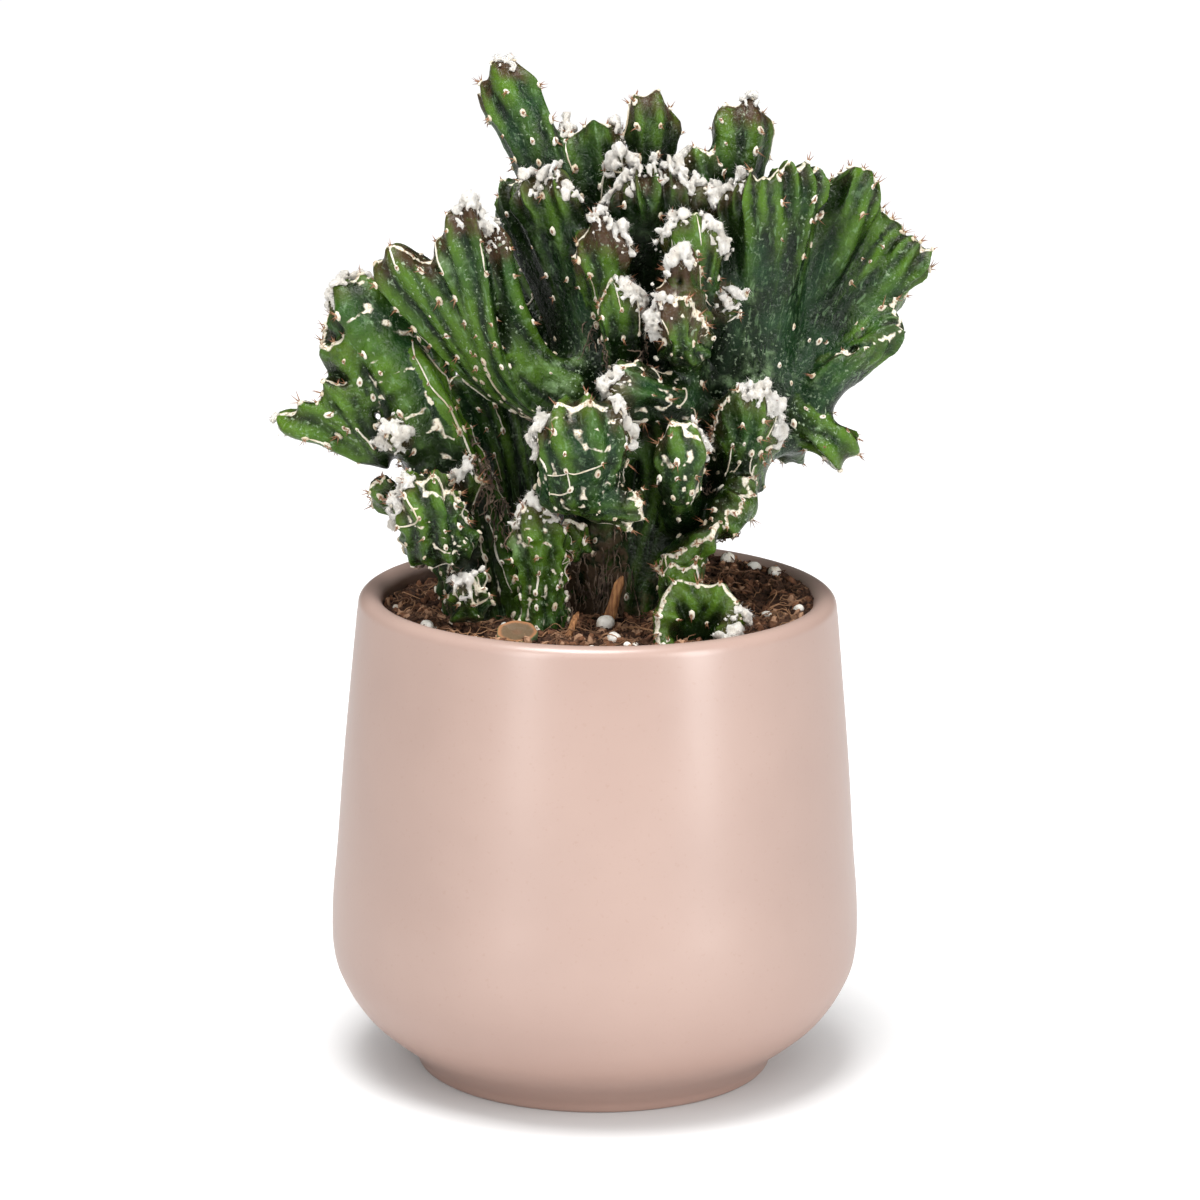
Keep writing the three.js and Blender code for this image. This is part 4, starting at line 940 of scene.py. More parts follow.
def areole_rows(points, phase, order, ribs):
    """For each rib the grid columns that it follows, and the rows of its areoles from the crest down."""
    rows = len(points)
    nearest = np.abs(phase - np.round(phase))
    found = []
    for rib in range(ribs):
        column = np.where(np.round(phase) % ribs == rib, nearest, 9.0).argmin(1)
        line = order[np.arange(rows), column]
        seats = [rows - 2] if rib <= ribs / 2 else []
        for step in range(int(line.max()) + 1):
            row = int(np.abs(line - step).argmin())
            if abs(line[row] - step) < 0.2 and 0.1 * rows < row < rows - 4:
                seats.append(row)
        found.append((column, seats))
    return found


def softened(line):
    """A run of points with its corners rounded off."""
    for _ in range(SOFTENING):
        line[1:-1] = (line[:-2] + 2 * line[1:-1] + line[2:]) / 4
    return line


def felt_on(limb, points, out, rows, draw):
    """Areoles as place, normal, growing direction and height, and threads of felt as runs of points."""
    seats, threads = [], []
    last, columns = len(points) - 1, points.shape[1]
    for number, (column, rows_up) in enumerate(rows):
        others, other_rows = rows[(number + 1) % len(rows)]
        for k, row in enumerate(rows_up):
            c = column[row]
            height = row / last
            if draw.random() > limb.felted + (1 - limb.felted) * smoothstep(height, 0.7, 0.95):
                continue
            ahead = points[min(row + 1, last), column[min(row + 1, last)]] - points[row - 1, column[row - 1]]
            shift = unit(ahead) * draw.normal(0, DRIFT_ALONG)
            shift = shift + unit(np.cross(ahead, out[row, c])) * draw.normal(0, DRIFT_ACROSS)
            seats.append((points[row, c] + shift * (height < 0.95), out[row, c], unit(ahead), height))
            if limb.forks and height > 0.95 and 1 < others[row] - c < columns / 2:
                between_them = (c + others[row]) // 2
                seats.append((points[row, between_them], out[row, between_them], unit(ahead), height))
            if k + 1 < len(rows_up) and draw.random() < limb.threads:
                steps = np.arange(rows_up[k + 1], row + 1)
                threads.append((softened(points[steps, column[steps]]), 1.0))
            if other_rows and height < 0.8 and draw.random() < limb.loops:
                other = min(other_rows, key=lambda r: abs(r - row))
                mix = np.linspace(0, 1, LOOP_STEPS)
                sag = np.round(row + (other - row) * mix - LOOP_SAG * np.sin(math.pi * mix)).astype(int)
                turn = (others[other] - c + columns // 2) % columns - columns // 2
                around = np.round(c + turn * mix).astype(int) % columns
                threads.append((softened(points[np.clip(sag, 0, last), around]), draw.uniform(0.8, 1.4)))
    return seats, threads

# %% Balls of wool on one limb
WOOL_REACH = 7.0
WOOL_KEPT = 0.9
ROUGHNESS = (1.0, 2.0, 3)
TUFT_ACROSS, TUFT_ALONG, TUFT_CLUMP = 1.8, 4.5, 2.6


def wool_on(points, out, woolly, to_crest, draw):
    """Centres and radii of balls of wool: a clumpy crust along the crest with ragged tongues below."""
    around = np.cumsum(np.linalg.norm(np.diff(points, axis=1, prepend=points[:, -1:]), axis=2), axis=1)
    seed = draw.uniform(0, 100)
    balls = []
    for row, column in np.argwhere((woolly > 0.3) & (to_crest < WOOL_REACH)):
        down = to_crest[row, column]
        ragged = fractal(Vector((around[row, column] / TUFT_ACROSS, down / TUFT_ALONG, seed)), *ROUGHNESS)
        clump = fractal(Vector(points[row, column] / TUFT_CLUMP), *ROUGHNESS)
        full = woolly[row, column] * (0.58 + 0.55 * ragged + 0.75 * clump) - down / WOOL_REACH
        if full > 0 and draw.random() < WOOL_KEPT:
            radius = 0.36 + 0.55 * min(1.0, full) + 0.3 * draw.random()
            place = points[row, column] + out[row, column] * 0.3 * radius + draw.normal(0, 0.25, 3)
            balls.append((*place, radius))
    return np.array(balls).reshape(-1, 4)

# %% [markdown]
# ## One skin for each stem
#
# Limbs that grew from each other share one skin, with a soft fillet where they meet. Boolean unions would
# leave sharp seams there. So the limbs of a stem are laid into each other, the Remesh modifier wraps them
# in one closed skin, and a node tree then blurs the places where two limbs meet. The tree also reads the
# stored numbers from the nearest point of the limbs, because the new skin has none of its own, and measures
# how much open room there is in front of each point, so that the finish can paint shade into a narrow gap
# and leave an open ridge unshaded.

# %% Closed surface of all limbs of a stem
STEM_VOXEL = {"stem_main": 0.62, "stem_left": 0.6, "front_offset": 0.5, "soil_crest": 0.5}
SKIN_TRIANGLES = {"stem_main": 195000, "stem_left": 80000, "front_offset": 20000, "soil_crest": 14000}
CARRIED = ("ridge", "grow", "tip", "old", "tone", "turn", "dust", "rim")
SEED_STEP, TONE_STEP = 1.7, 12.9


def grid_faces(rows, columns, first=0):
    """Faces of a tube of points, closed at its foot."""
    r, c = np.meshgrid(np.arange(rows - 1), np.arange(columns), indexing="ij")
    a = first + r * columns + c
    b = first + r * columns + (c + 1) % columns
    sides = np.stack([a, b, b + columns, a + columns], -1).reshape(-1, 4)
    return sides.tolist() + [list(range(first + columns - 1, first - 1, -1))]


def lay_limbs(stem, forms, draw):
    """All limbs of a stem in one mesh, each a closed body. Returns it with what grows on the limbs."""
    laid_points, faces, values = [], [], {}
    growth = dict(seats=[], threads=[], wool=[])
    start = 0
    for number, given in enumerate(forms):
        limb = measure({**given, "seed": SEED_STEP * number})
        points, out, stored_values, rows, to_crest = limb_grid(limb)
        stored_values["limb"] = np.full(points.shape[:2], float(number))
        stored_values["tone"] = np.full(points.shape[:2], given.get("tone", math.sin(TONE_STEP * number + 1)))
        faces += grid_faces(*points.shape[:2], start)
        laid_points.append(points.reshape(-1, 3))
        for label, value in stored_values.items():
            values.setdefault(label, []).append(value.ravel())
        start += len(laid_points[-1])
        seats, threads = felt_on(limb, points, out, rows, draw)
        growth["seats"] += seats
        growth["threads"] += threads
        growth["wool"].append(wool_on(points, out, stored_values["wool"], to_crest, draw))
    stored = {k: np.concatenate(v) for k, v in values.items()}
    laid = mesh_object(stem + "_limbs", np.vstack(laid_points), faces, **stored)
    print(stem, "limbs:", ", ".join(given["name"] for given in forms))
    print("points:", start, {k: sum(map(len, v)) for k, v in growth.items()})
    return laid, growth

# %% Fillets, fine unevenness and stored numbers
ROOM_REACH = (2.5, 6, 14)
FILLET_REACH, FILLET_GAIN, SOFTENED_EVERYWHERE = 7, 2.5, 0.06
LUMPS_PER_METRE = 170.0


def skin_tree():
    """Softens the places where two limbs meet and carries the stored numbers over from the limbs."""
    tree = Shapes("Plant skin", Limbs=bpy.types.Object, Fillet_steps=24, Unevenness=0.0005)
    limbs = tree.put("GeometryNodeObjectInfo", {"Object": tree.given["Limbs"]}, "Geometry")
    skin_now = tree.given["Geometry"]
    for label in ("limb", *CARRIED):
        read = {"Mesh": limbs, "Value": tree.stored(label)}
        skin_now = tree.store(skin_now, label, tree.put("GeometryNodeSampleNearestSurface", read, "Value"))
    number = tree.stored("limb")
    meeting = tree.math("GREATER_THAN", tree.math("ABSOLUTE", tree.blurred(number, 1) - number), 0.01)
    near = tree.blurred(meeting, FILLET_REACH) * FILLET_GAIN
    weight = tree.put("ShaderNodeMath", {0: near, 1: SOFTENED_EVERYWHERE}, operation="ADD", use_clamp=True)
    soft = tree.blurred(tree.position, tree.given["Fillet steps"], Weight=weight)
    filleted = tree.moved(skin_now, Position=soft)
    uneven = tree.pushed_out(filleted, LUMPS_PER_METRE, tree.given["Unevenness"], 3.0)
    # How much open room lies in front of each point: the skin's finish paints shade where there is little.
    room = 0.0
    for reach in ROOM_REACH:
        ahead = tree.vectors("ADD", tree.position, tree.scaled(tree.normal, reach * MM))
        near_skin = {"Geometry": uneven, "Sample Position": ahead}
        distance = tree.put("GeometryNodeProximity", near_skin, "Distance")
        room = distance / (reach * MM * len(ROOM_REACH)) + room
    return tree.end(tree.store(uneven, "room", room))

# %% [markdown]
# ## The skin's finish
#
# The skin is deep green and waxy. Light and shade are painted into its colour: a painted highlight makes it
# lighter and yellower on the ridges and along streaks of the growth, and painted shade makes it darker in the
# valleys and in the narrow gaps. It is brown just under the wool where it is youngest, and speckled and corky
# near the foot where it is oldest. A pale bloom of wax lies in patches, brighter at a few spots, where it is
# also a painted highlight, and pale streaks of wax along the growth also paint a sheen. The dry edges of the
# scales are cream. All of these follow the growth, so the finish reads the numbers stored on the points, and
# noise only breaks them up.

# %% Skin finish
def skin_finish():
    look = Finish("waxy_green_skin")
    broad, fine = look.noise(55.0), look.noise(1500.0, 2.0, 0.5)
    mottle = look.noise(320.0, 4.0, 0.6, None, 0.4)
    ridge, tip, old, tone, dust = [look.stored(label) for label in ("ridge", "tip", "old", "tone", "dust")]
    lines = look.combine(look.stored("turn"), look.stored("grow") * 2.5, look.stored("limb"))
    streak = look.noise(1.6, 4.0, 0.65, lines, 0.3)
    # Painted light and tone: ridges and streaks of the growth are lighter, as a painted highlight, and the
    # valleys go nearly black, as painted shade. Mottle and each limb's tone add real changes of colour.
    painted_light_and_tone = ridge * 0.62 + mottle * 0.3 + streak * 0.62 + tone * 0.08
    green = painted_light_and_tone.between(0.46, 1.0).blend((0.0012, 0.007, 0.0006), (0.066, 0.140, 0.011))
    deep = broad - tone * 0.08
    green = deep.between(0.45, 0.72, 0.0, 0.75).blend(green, (0.011, 0.044, 0.013))
    # Pale streaks along the growth: partly wax, partly a painted streaky sheen.
    threads = look.noise(7.0, 3.0, 0.6, lines, 0.6)
    green = threads.between(0.55, 0.68, 0.0, 0.45).blend(green, (0.15, 0.25, 0.12))
    # Painted shade: the skin goes nearly black where there is little open room in front of it, in narrow gaps
    # and deep valleys.
    shade = look.stored("room").between(0.5, 1.02, 0.92, 0.0)
    green = shade.blend(green, (0.0015, 0.006, 0.0005))
    # Pale bloom of wax in patches, stronger at the listed spots: partly real wax, partly a painted highlight
    # laid over the painted shade.
    bloom_and_highlight = look.noise(75.0, 4.0, 0.6, None, 0.8) * 0.5 + streak * 0.25 + mottle * 0.25 + dust * 0.12
    green = bloom_and_highlight.between(0.58, 0.80, 0.0, 0.9).blend(green, (0.26, 0.40, 0.19))
    brown = tip * mottle.between(0.25, 0.6, 0.6, 1.25)
    green = brown.between(0.1, 0.8).blend(green, (0.050, 0.028, 0.014))
    speck = look.noise(900.0, 3.0, 0.6).between(0.60, 0.66)
    specked = look.noise(60.0, 2.0, 0.5).between(0.5, 0.62, 0.05, 0.5) + dust * 0.5
    green = (speck * specked).blend(green, (0.30, 0.38, 0.25))
    cork = old * mottle.between(0.35, 0.6, 0.3, 1.3)
    green = cork.between(0.25, 0.85).blend(green, (0.085, 0.055, 0.032))
    dry = look.stored("rim") + mottle * 0.4
    cream = fine.between(0.3, 0.5).blend((0.36, 0.25, 0.15), (0.70, 0.65, 0.53))
    green = dry.between(0.68, 0.95).blend(green, cream)
    gloss = mottle.between(0.3, 0.7, 0.18, 0.36) + old * 0.3
    return look.done(mottle + fine * 0.25, 0.0008, Base_Color=green, Roughness=gloss, Specular_IOR_Level=0.2,
                     Subsurface_Weight=0.06, Subsurface_Scale=0.002, Subsurface_Radius=(0.6, 1.0, 0.3))

# %% Skins of the four stems
SKIN = skin_finish()
SKIN_TREE = skin_tree()


def grow_stem(stem, draw):
    """Builds one stem's skin. Returns the piece and what grows on it."""
    laid, growth = lay_limbs(stem, LIMBS[stem], draw)
    piece = add_object(stem + "_skin", laid.data.copy())
    wrap = piece.modifiers.new("Wrap", "REMESH")
    wrap.mode, wrap.voxel_size = "VOXEL", STEM_VOXEL[stem] * MM
    settle(piece)
    thin = piece.modifiers.new("Thin out", "DECIMATE")
    thin.ratio = min(1.0, SKIN_TRIANGLES[stem] / (2 * len(piece.data.polygons)))
    run(SKIN_TREE, piece, Limbs=laid, Material=SKIN)
    bpy.data.objects.remove(laid)
    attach(piece, "root")
    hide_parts(stem)
    return piece, growth


rng = np.random.default_rng(7)
grown = {stem: grow_stem(stem, rng) for stem in LIMBS}

# %% [markdown]
# ## Areoles and spines
#
# An areole is a small cushion of cream felt with a brown middle, from which a few short spines fork. There
# are well over a thousand of each, so one cushion and one spine are made and set on points by Geometry
# Nodes. The points hold the normal of the skin and the direction of growth. First every areole that another
# limb has swallowed is dropped, and the rest are set down on the fused skin.

# %% What lies on the skin
BURIED = 1.3
SAME_SIDE = 0.2
THREAD_LIFT = 0.08
FEWEST_POINTS = 4


def skin_surface(piece):
    mesh = piece.data
    return BVHTree.FromPolygons([v.co for v in mesh.vertices], [p.vertices[:] for p in mesh.polygons])


def seats_on_skin(surface, seats):
    """Sets each areole on the fused skin. Returns places, normals, growing directions and heights."""
    kept = []
    for place, out, ahead, height in seats:
        found, normal, _, distance = surface.find_nearest(Vector(place * MM))
        if distance < BURIED * MM and normal.dot(Vector(out)) > SAME_SIDE:
            kept.append((np.array(found) / MM, unit(np.array(normal) + out), ahead, height))
    return [np.array(column) for column in zip(*kept)]


def runs_on_skin(surface, threads):
    """Lays threads on the fused skin and cuts them where another limb has swallowed them."""
    runs = []
    for thread, thickness in threads:
        run_now = []
        for point in thread:
            found, normal, _, distance = surface.find_nearest(Vector(point * MM))
            if distance < BURIED * MM:
                run_now.append(np.array(found + normal * (THREAD_LIFT * MM)) / MM)
                continue
            runs.append((run_now, thickness))
            run_now = []
        runs.append((run_now, thickness))
    return [r for r in runs if len(r[0]) >= FEWEST_POINTS]


surfaces = {stem: skin_surface(piece) for stem, (piece, _) in grown.items()}
seated = {stem: seats_on_skin(surfaces[stem], growth["seats"]) for stem, (_, growth) in grown.items()}
print("areoles:", {stem: len(found[0]) for stem, found in seated.items()})

# %% Trees for the felt cushions and the spines
ALL_WAYS = ((-1.0, -1.0, -1.0), (1.0, 1.0, 1.0))


def cushion_tree():
    """Sets a small domed cushion on each point, longer along the growth than across it."""
    tree = Shapes("Areole cushions", Width=0.0014, Length=0.0024, Thickness=0.0010)
    ball = tree.put("GeometryNodeMeshUVSphere", {"Radius": 1.0, "Segments": 7, "Rings": 4})
    edge = tree.length(tree.vectors("MULTIPLY", tree.position, (1.0, 1.0, 0.0)))
    upright = tree.turned(tree.stored("normal", VECTOR))
    turned = tree.turned(tree.stored("growth", VECTOR), "X", after=upright, pivot_axis="Z")
    shape = tree.combine(*[tree.given[label] * 0.5 for label in ("Length", "Width", "Thickness")])
    scale = tree.scaled(shape, tree.stored("size"))
    cushions = tree.on_points(tree.given["Geometry"], tree.store(ball, "edge", edge), turned, scale)
    return tree.end(tree.pushed_out(tree.real(cushions), 900.0, 0.0009))


def spine_tree():
    """Sets a few short, four-sided spines on each point, leaning apart."""
    tree = Shapes("Spines", Count=4, Length=0.0030, Radius=0.00021, Lean=0.75, Seed=5)
    points = tree.put("GeometryNodeMeshToPoints", {"Mesh": tree.given["Geometry"]})
    copies = {"Geometry": points, "Amount": tree.given["Count"]}
    many = tree.put("GeometryNodeDuplicateElements", copies, domain="POINT")
    lean = tree.scaled(tree.random(*ALL_WAYS), tree.given["Lean"])
    way = tree.vectors("ADD", tree.stored("normal", VECTOR), lean)
    length = tree.given["Length"] * (tree.random(0.35, 1.25) * tree.stored("size"))
    cone = tree.put("GeometryNodeMeshCone", {"Vertices": 4, "Radius Bottom": 1.0, "Depth": 1.0})
    marked = tree.store(cone, "to_point", tree.part(tree.position, "Z"))
    shape = tree.combine(tree.given["Radius"], tree.given["Radius"], length)
    return tree.end(tree.on_points(many, marked, tree.turned(way), shape))

# %% Felt and spine finishes
def felt_finish():
    felt = Finish("cream_felt")
    grain, tint = felt.noise(1800.0, 3.0, 0.6), felt.noise(120.0, 2.0, 0.5)
    cream = tint.between(0.35, 0.65).blend((0.50, 0.42, 0.29), (0.76, 0.71, 0.60))
    middle = felt.stored("edge") + grain * 0.3
    colour = middle.between(0.35, 0.75).blend((0.20, 0.095, 0.045), cream)
    colour = grain.between(0.55, 0.75, 0.0, 0.5).blend(colour, (0.42, 0.33, 0.22))
    return felt.done(grain, 0.0002, Base_Color=colour, Roughness=grain.between(0.3, 0.7, 0.8, 0.95),
                     Sheen_Weight=0.3)


def spine_finish():
    spine = Finish("red_brown_spine")
    streak = spine.noise(700.0)
    colour = spine.stored("to_point").between(0.1, 0.9).blend((0.33, 0.19, 0.09), (0.14, 0.035, 0.018))
    colour = streak.between(0.35, 0.65, 0.0, 0.5).blend(colour, (0.30, 0.12, 0.06))
    return spine.done(Base_Color=colour, Roughness=streak.between(0.3, 0.7, 0.35, 0.6))

# %% Areoles and spines of each stem
FELT, SPINE = felt_finish(), spine_finish()
CUSHION_TREE, SPINE_TREE = cushion_tree(), spine_tree()
SPINED_FROM, SPINED_SHARE = 0.45, 0.9


def set_with(stem, label, tree, chosen, sizes, slot, **inputs):
    """Runs a tree on some of a stem's areole points and attaches the piece to the plant."""
    places, normals, growth, _ = seated[stem]
    piece = mesh_object(f"{stem}_{label}", places[chosen], normal=normals[chosen], growth=growth[chosen],
                        size=sizes[chosen])
    run(tree, piece, **inputs)
    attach(piece, "root")


for stem, (places, _, _, heights) in seated.items():
    count = len(places)
    sizes = np.minimum(1.15, np.exp(rng.normal(-0.25, 0.32, count)))
    spined = (heights > SPINED_FROM) & (rng.random(count) < SPINED_SHARE)
    set_with(stem, "areoles", CUSHION_TREE, np.arange(count), sizes, "wool", Material=FELT)
    set_with(stem, "spines", SPINE_TREE, spined, sizes, "spine", Material=SPINE)

# %% [markdown]
# ## Threads of felt
#
# On old growth a thin, dry line of cream felt runs from areole to areole, along a rib or in a loop over to
# the next one. It could be painted by the skin's finish, but the lines stand proud and throw small shadows.
# So each is a run of points on the skin, and a node tree turns the runs into uneven tubes.

# %% Threads
THREAD_RADIUS = (0.12, 0.32)
THIN_END = 0.35


def tube_tree():
    """Turns runs of points into tubes, as thick as the size stored on each point."""
    tree = Shapes("Tubes", Sides=5, Roughness=0.0)
    lines = tree.put("GeometryNodeMeshToCurve", {"Mesh": tree.given["Geometry"]})
    ring = tree.put("GeometryNodeCurvePrimitiveCircle", {"Resolution": tree.given["Sides"], "Radius": 1.0})
    inputs = {"Curve": lines, "Profile Curve": ring, "Scale": tree.stored("size"), "Fill Caps": True}
    tube = tree.put("GeometryNodeCurveToMesh", inputs)
    return tree.end(tree.pushed_out(tube, 1500.0, tree.given["Roughness"]))


def lines_object(name, runs, radii):
    """An object of open runs of points, each with a radius in millimetres that tapers to its ends."""
    points, edges, sizes = [], [], []
    for line, radius in zip(runs, radii):
        first = len(points)
        points += list(line)
        edges += [(i, i + 1) for i in range(first, len(points) - 1)]
        taper = np.sin(math.pi * np.linspace(0, 1, len(line))) ** 0.5
        sizes += (radius * MM * (THIN_END + (1 - THIN_END) * taper)).tolist()
    return mesh_object(name, np.array(points), edges=edges, size=sizes, edge=[1.0] * len(points))


TUBE_TREE = tube_tree()
for stem, (_, growth) in grown.items():
    runs = runs_on_skin(surfaces[stem], growth["threads"])
    if not runs:
        continue
    radii = rng.uniform(*THREAD_RADIUS, len(runs)) * [thickness for _, thickness in runs]
    threads = lines_object(f"{stem}_felt_threads", [line for line, _ in runs], radii)
    run(TUBE_TREE, threads, Roughness=0.0003, Material=FELT)
    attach(threads, "root")

# %% [markdown]
# ## Wool
#
# The growing crests wear a thick, crusty coat of white wool with dark pits, and strands of it hang down
# over the brown tips. Real hairs would need far too many faces. Instead small balls of wool lie close
# together, as a crust and in strands, and Geometry Nodes melts them into one body, as wet wool mats
# together: points to a volume, and the volume back to a mesh. Only the loose hairs that stand out of it are
# single hairs.

# %% Trees for wool and loose hairs
def wool_tree():
    """Melts balls of wool into one uneven crust."""
    tree = Shapes("Wool crust", Cell=0.00045, Threshold=0.1, Softening=3, Unevenness=0.0009)
    points = tree.put("GeometryNodeMeshToPoints", {"Mesh": tree.given["Geometry"]})
    cloud = tree.put("GeometryNodePointsToVolume", resolution_mode="VOXEL_SIZE")
    inputs = {"Points": points, "Voxel Size": tree.given["Cell"], "Radius": tree.stored("size")}
    for label, value in inputs.items():
        tree.fill(cloud.socket.node.inputs[label], value)
    melt = {"Volume": cloud, "Threshold": tree.given["Threshold"], "Adaptivity": 0.0}
    crust = tree.put("GeometryNodeVolumeToMesh", melt)
    crust = tree.moved(crust, Position=tree.blurred(tree.position, tree.given["Softening"]))
    return tree.end(tree.pushed_out(crust, 1300.0, tree.given["Unevenness"], 4.0, 0.8))


def hair_tree():
    """Strews fine, three-sided hairs over a surface, leaning all ways."""
    tree = Shapes("Loose hairs", Hairs_per_area=1100000.0, Length=0.0016, Radius=0.00004, Lean=1.1, Seed=13)
    drop = tree.strewn(tree.given["Hairs per area"])
    lean = tree.scaled(tree.random((-1.0, -1.0, -1.0), (1.0, 1.0, 0.6)), tree.given["Lean"])
    way = tree.vectors("ADD", drop.other("Normal"), lean)
    length = tree.given["Length"] * tree.random(0.3, 1.3)
    sides = {"Vertices": 3, "Radius Bottom": 1.0, "Depth": 1.0}
    cone = tree.put("GeometryNodeMeshCone", sides, fill_type="NONE")
    shape = tree.combine(tree.given["Radius"], tree.given["Radius"], length)
    return tree.end(tree.on_points(drop, cone, tree.turned(way), shape))

# %% Wool finish
def wool_finish():
    wool = Finish("white_wool")
    fibre, dirt = wool.noise(2200.0, 4.0, 0.65, None, 1.5), wool.noise(260.0, 3.0, 0.6)
    white = dirt.between(0.35, 0.7).blend((0.93, 0.90, 0.84), (0.78, 0.72, 0.62))
    white = fibre.between(0.30, 0.5, 0.5, 0.0).blend(white, (0.36, 0.27, 0.19))
    # Small dark spots are painted shade that stands in for the pits of the crust.
    white = wool.cells(520.0).between(0.16, 0.05, 0.0, 0.6).blend(white, (0.20, 0.12, 0.08))
    return wool.done(fibre, 0.0009, Base_Color=white, Roughness=fibre.between(0.3, 0.7, 0.85, 1.0),
                     Sheen_Weight=0.4)

# %% Wool and hairs of each stem
WOOL, WOOL_TREE, HAIR_TREE = wool_finish(), wool_tree(), hair_tree()
DEEP_INSIDE = 0.6


def wool_on_skin(surface, balls):
    """Keeps the balls that lie on the fused skin, and not deep inside another limb."""
    kept = []
    for *place, radius in balls:
        found, normal, _, distance = surface.find_nearest(Vector(place) * MM)
        inside = (Vector(place) * MM - found).dot(normal) < 0
        if not (inside and distance > DEEP_INSIDE * MM):
            kept.append((*place, radius))
    return np.array(kept)


for stem, (_, growth) in grown.items():
    balls = np.vstack(growth["wool"])
    if not len(balls):
        continue
    balls = wool_on_skin(surfaces[stem], balls)
    wool = mesh_object(f"{stem}_wool", balls[:, :3], size=balls[:, 3] * MM)
    run(WOOL_TREE, wool, Material=WOOL)
    hairs = add_object(f"{stem}_wool_hairs", wool.data.copy())
    run(HAIR_TREE, hairs, Material=WOOL)
    for piece in (wool, hairs):
        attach(piece, "root")

# %% [markdown]
# ## Soil
#
# Potting soil is a crumbly mix of dark peat, brown bark chips, pale coir fibres and white perlite. A bumpy
# disc would look like clay. So the soil is a body that fills the pot, and on it lie thousands of real
# crumbs, chips and fibres. They repeat, so Geometry Nodes strews them, and each has few faces.

# %% The soil's body
SOIL_TOP, SOIL_BOTTOM, SOIL_EDGE = 119.0, 10.0, 54.9
SOIL_COLUMNS, SOIL_RINGS = 150, 48
HEAP_HEIGHT, HEAP_FROM, HEAP_TO = 4.4, 4, 50
WALL_GAP = 0.4


def waviness(x, y, z):
    return (np.sin(1.7 * x + 2.3 * y) + np.sin(2.9 * y - 1.3 * z) + np.sin(2.1 * z + 1.1 * x)) / 3


def soil_height(x, y):
    """Height of the soil: flat, with a heap towards the back right."""
    heap = HEAP_HEIGHT * smoothstep(0.6 * x + 0.8 * y, HEAP_FROM, HEAP_TO)
    return SOIL_TOP + heap + 0.7 * (waviness(0.9 * x, 0.9 * y, 3) + 0.6 * waviness(2.3 * x, 2.1 * y, 7))


wall = [(r - WALL_GAP, z) for r, z in smooth_line(INNER_WALL, 3)[0] if SOIL_BOTTOM + 0.5 < z < SOIL_TOP - 3]
profile = [(0.01, SOIL_BOTTOM), (wall[0][0] - 1, SOIL_BOTTOM), *wall]
top_radii = SOIL_EDGE * np.linspace(1, 0, SOIL_RINGS)
radii = np.array([r for r, _ in profile] + top_radii.tolist())
angle = np.arange(SOIL_COLUMNS) / SOIL_COLUMNS * math.tau
x, y = np.outer(radii, np.cos(angle)), np.outer(radii, np.sin(angle))
z = np.repeat([z for _, z in profile] + [SOIL_TOP] * SOIL_RINGS, SOIL_COLUMNS).reshape(x.shape)
on_top = np.arange(len(radii))[:, None] + 0 * x >= len(profile)
z = np.where(on_top, soil_height(x, y), z)
points = np.stack([x, y, z], -1).reshape(-1, 3)
soil = mesh_object("potting_soil", points, grid_faces(len(radii), SOIL_COLUMNS), top=on_top.ravel())
print("soil points:", x.size)

# %% Earth finish
def earth_finish(name, dark, light, lightest, share):
    earth = Finish(name)
    crumb = earth.noise(420.0, 5.0, 0.7)
    tint = earth.put("ShaderNodeSeparateColor", {"Color": earth.cells(380.0, "Color")})
    colour = crumb.between(0.35, 0.65).blend(dark, light)
    colour = tint.between(1 - share, 1 - share + 0.1).blend(colour, lightest)
    return earth.done(crumb, 0.0008, Base_Color=colour, Roughness=crumb.between(0.3, 0.7, 0.75, 1.0),
                      Specular_IOR_Level=0.25)


EARTH = earth_finish("dark_peat", (0.022, 0.010, 0.006), (0.100, 0.048, 0.028), (0.22, 0.12, 0.07), 0.2)
CHIPS = earth_finish("bark_chips", (0.060, 0.025, 0.013), (0.23, 0.105, 0.055), (0.40, 0.23, 0.14), 0.3)

# %% Crumbs
def crumb_tree():
    """Strews small lumps of uneven shape over the top of the soil."""
    tree = Shapes("Soil crumbs", Lumps_per_area=380000.0, Smallest=0.0003, Largest=0.0011, Seed=17)
    drop = tree.strewn(tree.stored("top") * tree.given["Lumps per area"])
    size = tree.random(tree.given["Smallest"], tree.given["Largest"])
    shape = tree.scaled(tree.random((0.6, 0.4, 0.35), (1.5, 1.0, 0.8)), size)
    turned = tree.tumbled((0.0, 0.0, 0.0), (6.2, 6.2, 6.2))
    lump = tree.put("GeometryNodeMeshIcoSphere", {"Radius": 1.0, "Subdivisions": 1})
    lumps = tree.real(tree.on_points(drop, lump, turned, shape))
    return tree.end(tree.pushed_out(lumps, 900.0, 0.0009), False)


def soil_tree():
    """Roughens the soil's own surface."""
    tree = Shapes("Soil surface", Roughness=0.0022)
    return tree.end(tree.pushed_out(tree.given["Geometry"], 420.0, tree.given["Roughness"], 4.0))


def from_soil(name, tree, slot, **inputs):
    """A piece made by a tree from a copy of the soil's body."""
    piece = add_object(name, soil.data.copy())
    run(tree, piece, **inputs)
    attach(piece, "root")


CRUMB_TREE = crumb_tree()
from_soil("soil_crumbs", CRUMB_TREE, "soil", Material=EARTH)
from_soil("bark_chips", CRUMB_TREE, "soil", Lumps_per_area=60000.0, Smallest=0.0011, Largest=0.0022, Seed=29,
          Material=CHIPS)
run(soil_tree(), soil, Material=EARTH)
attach(soil, "root")
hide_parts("soil")

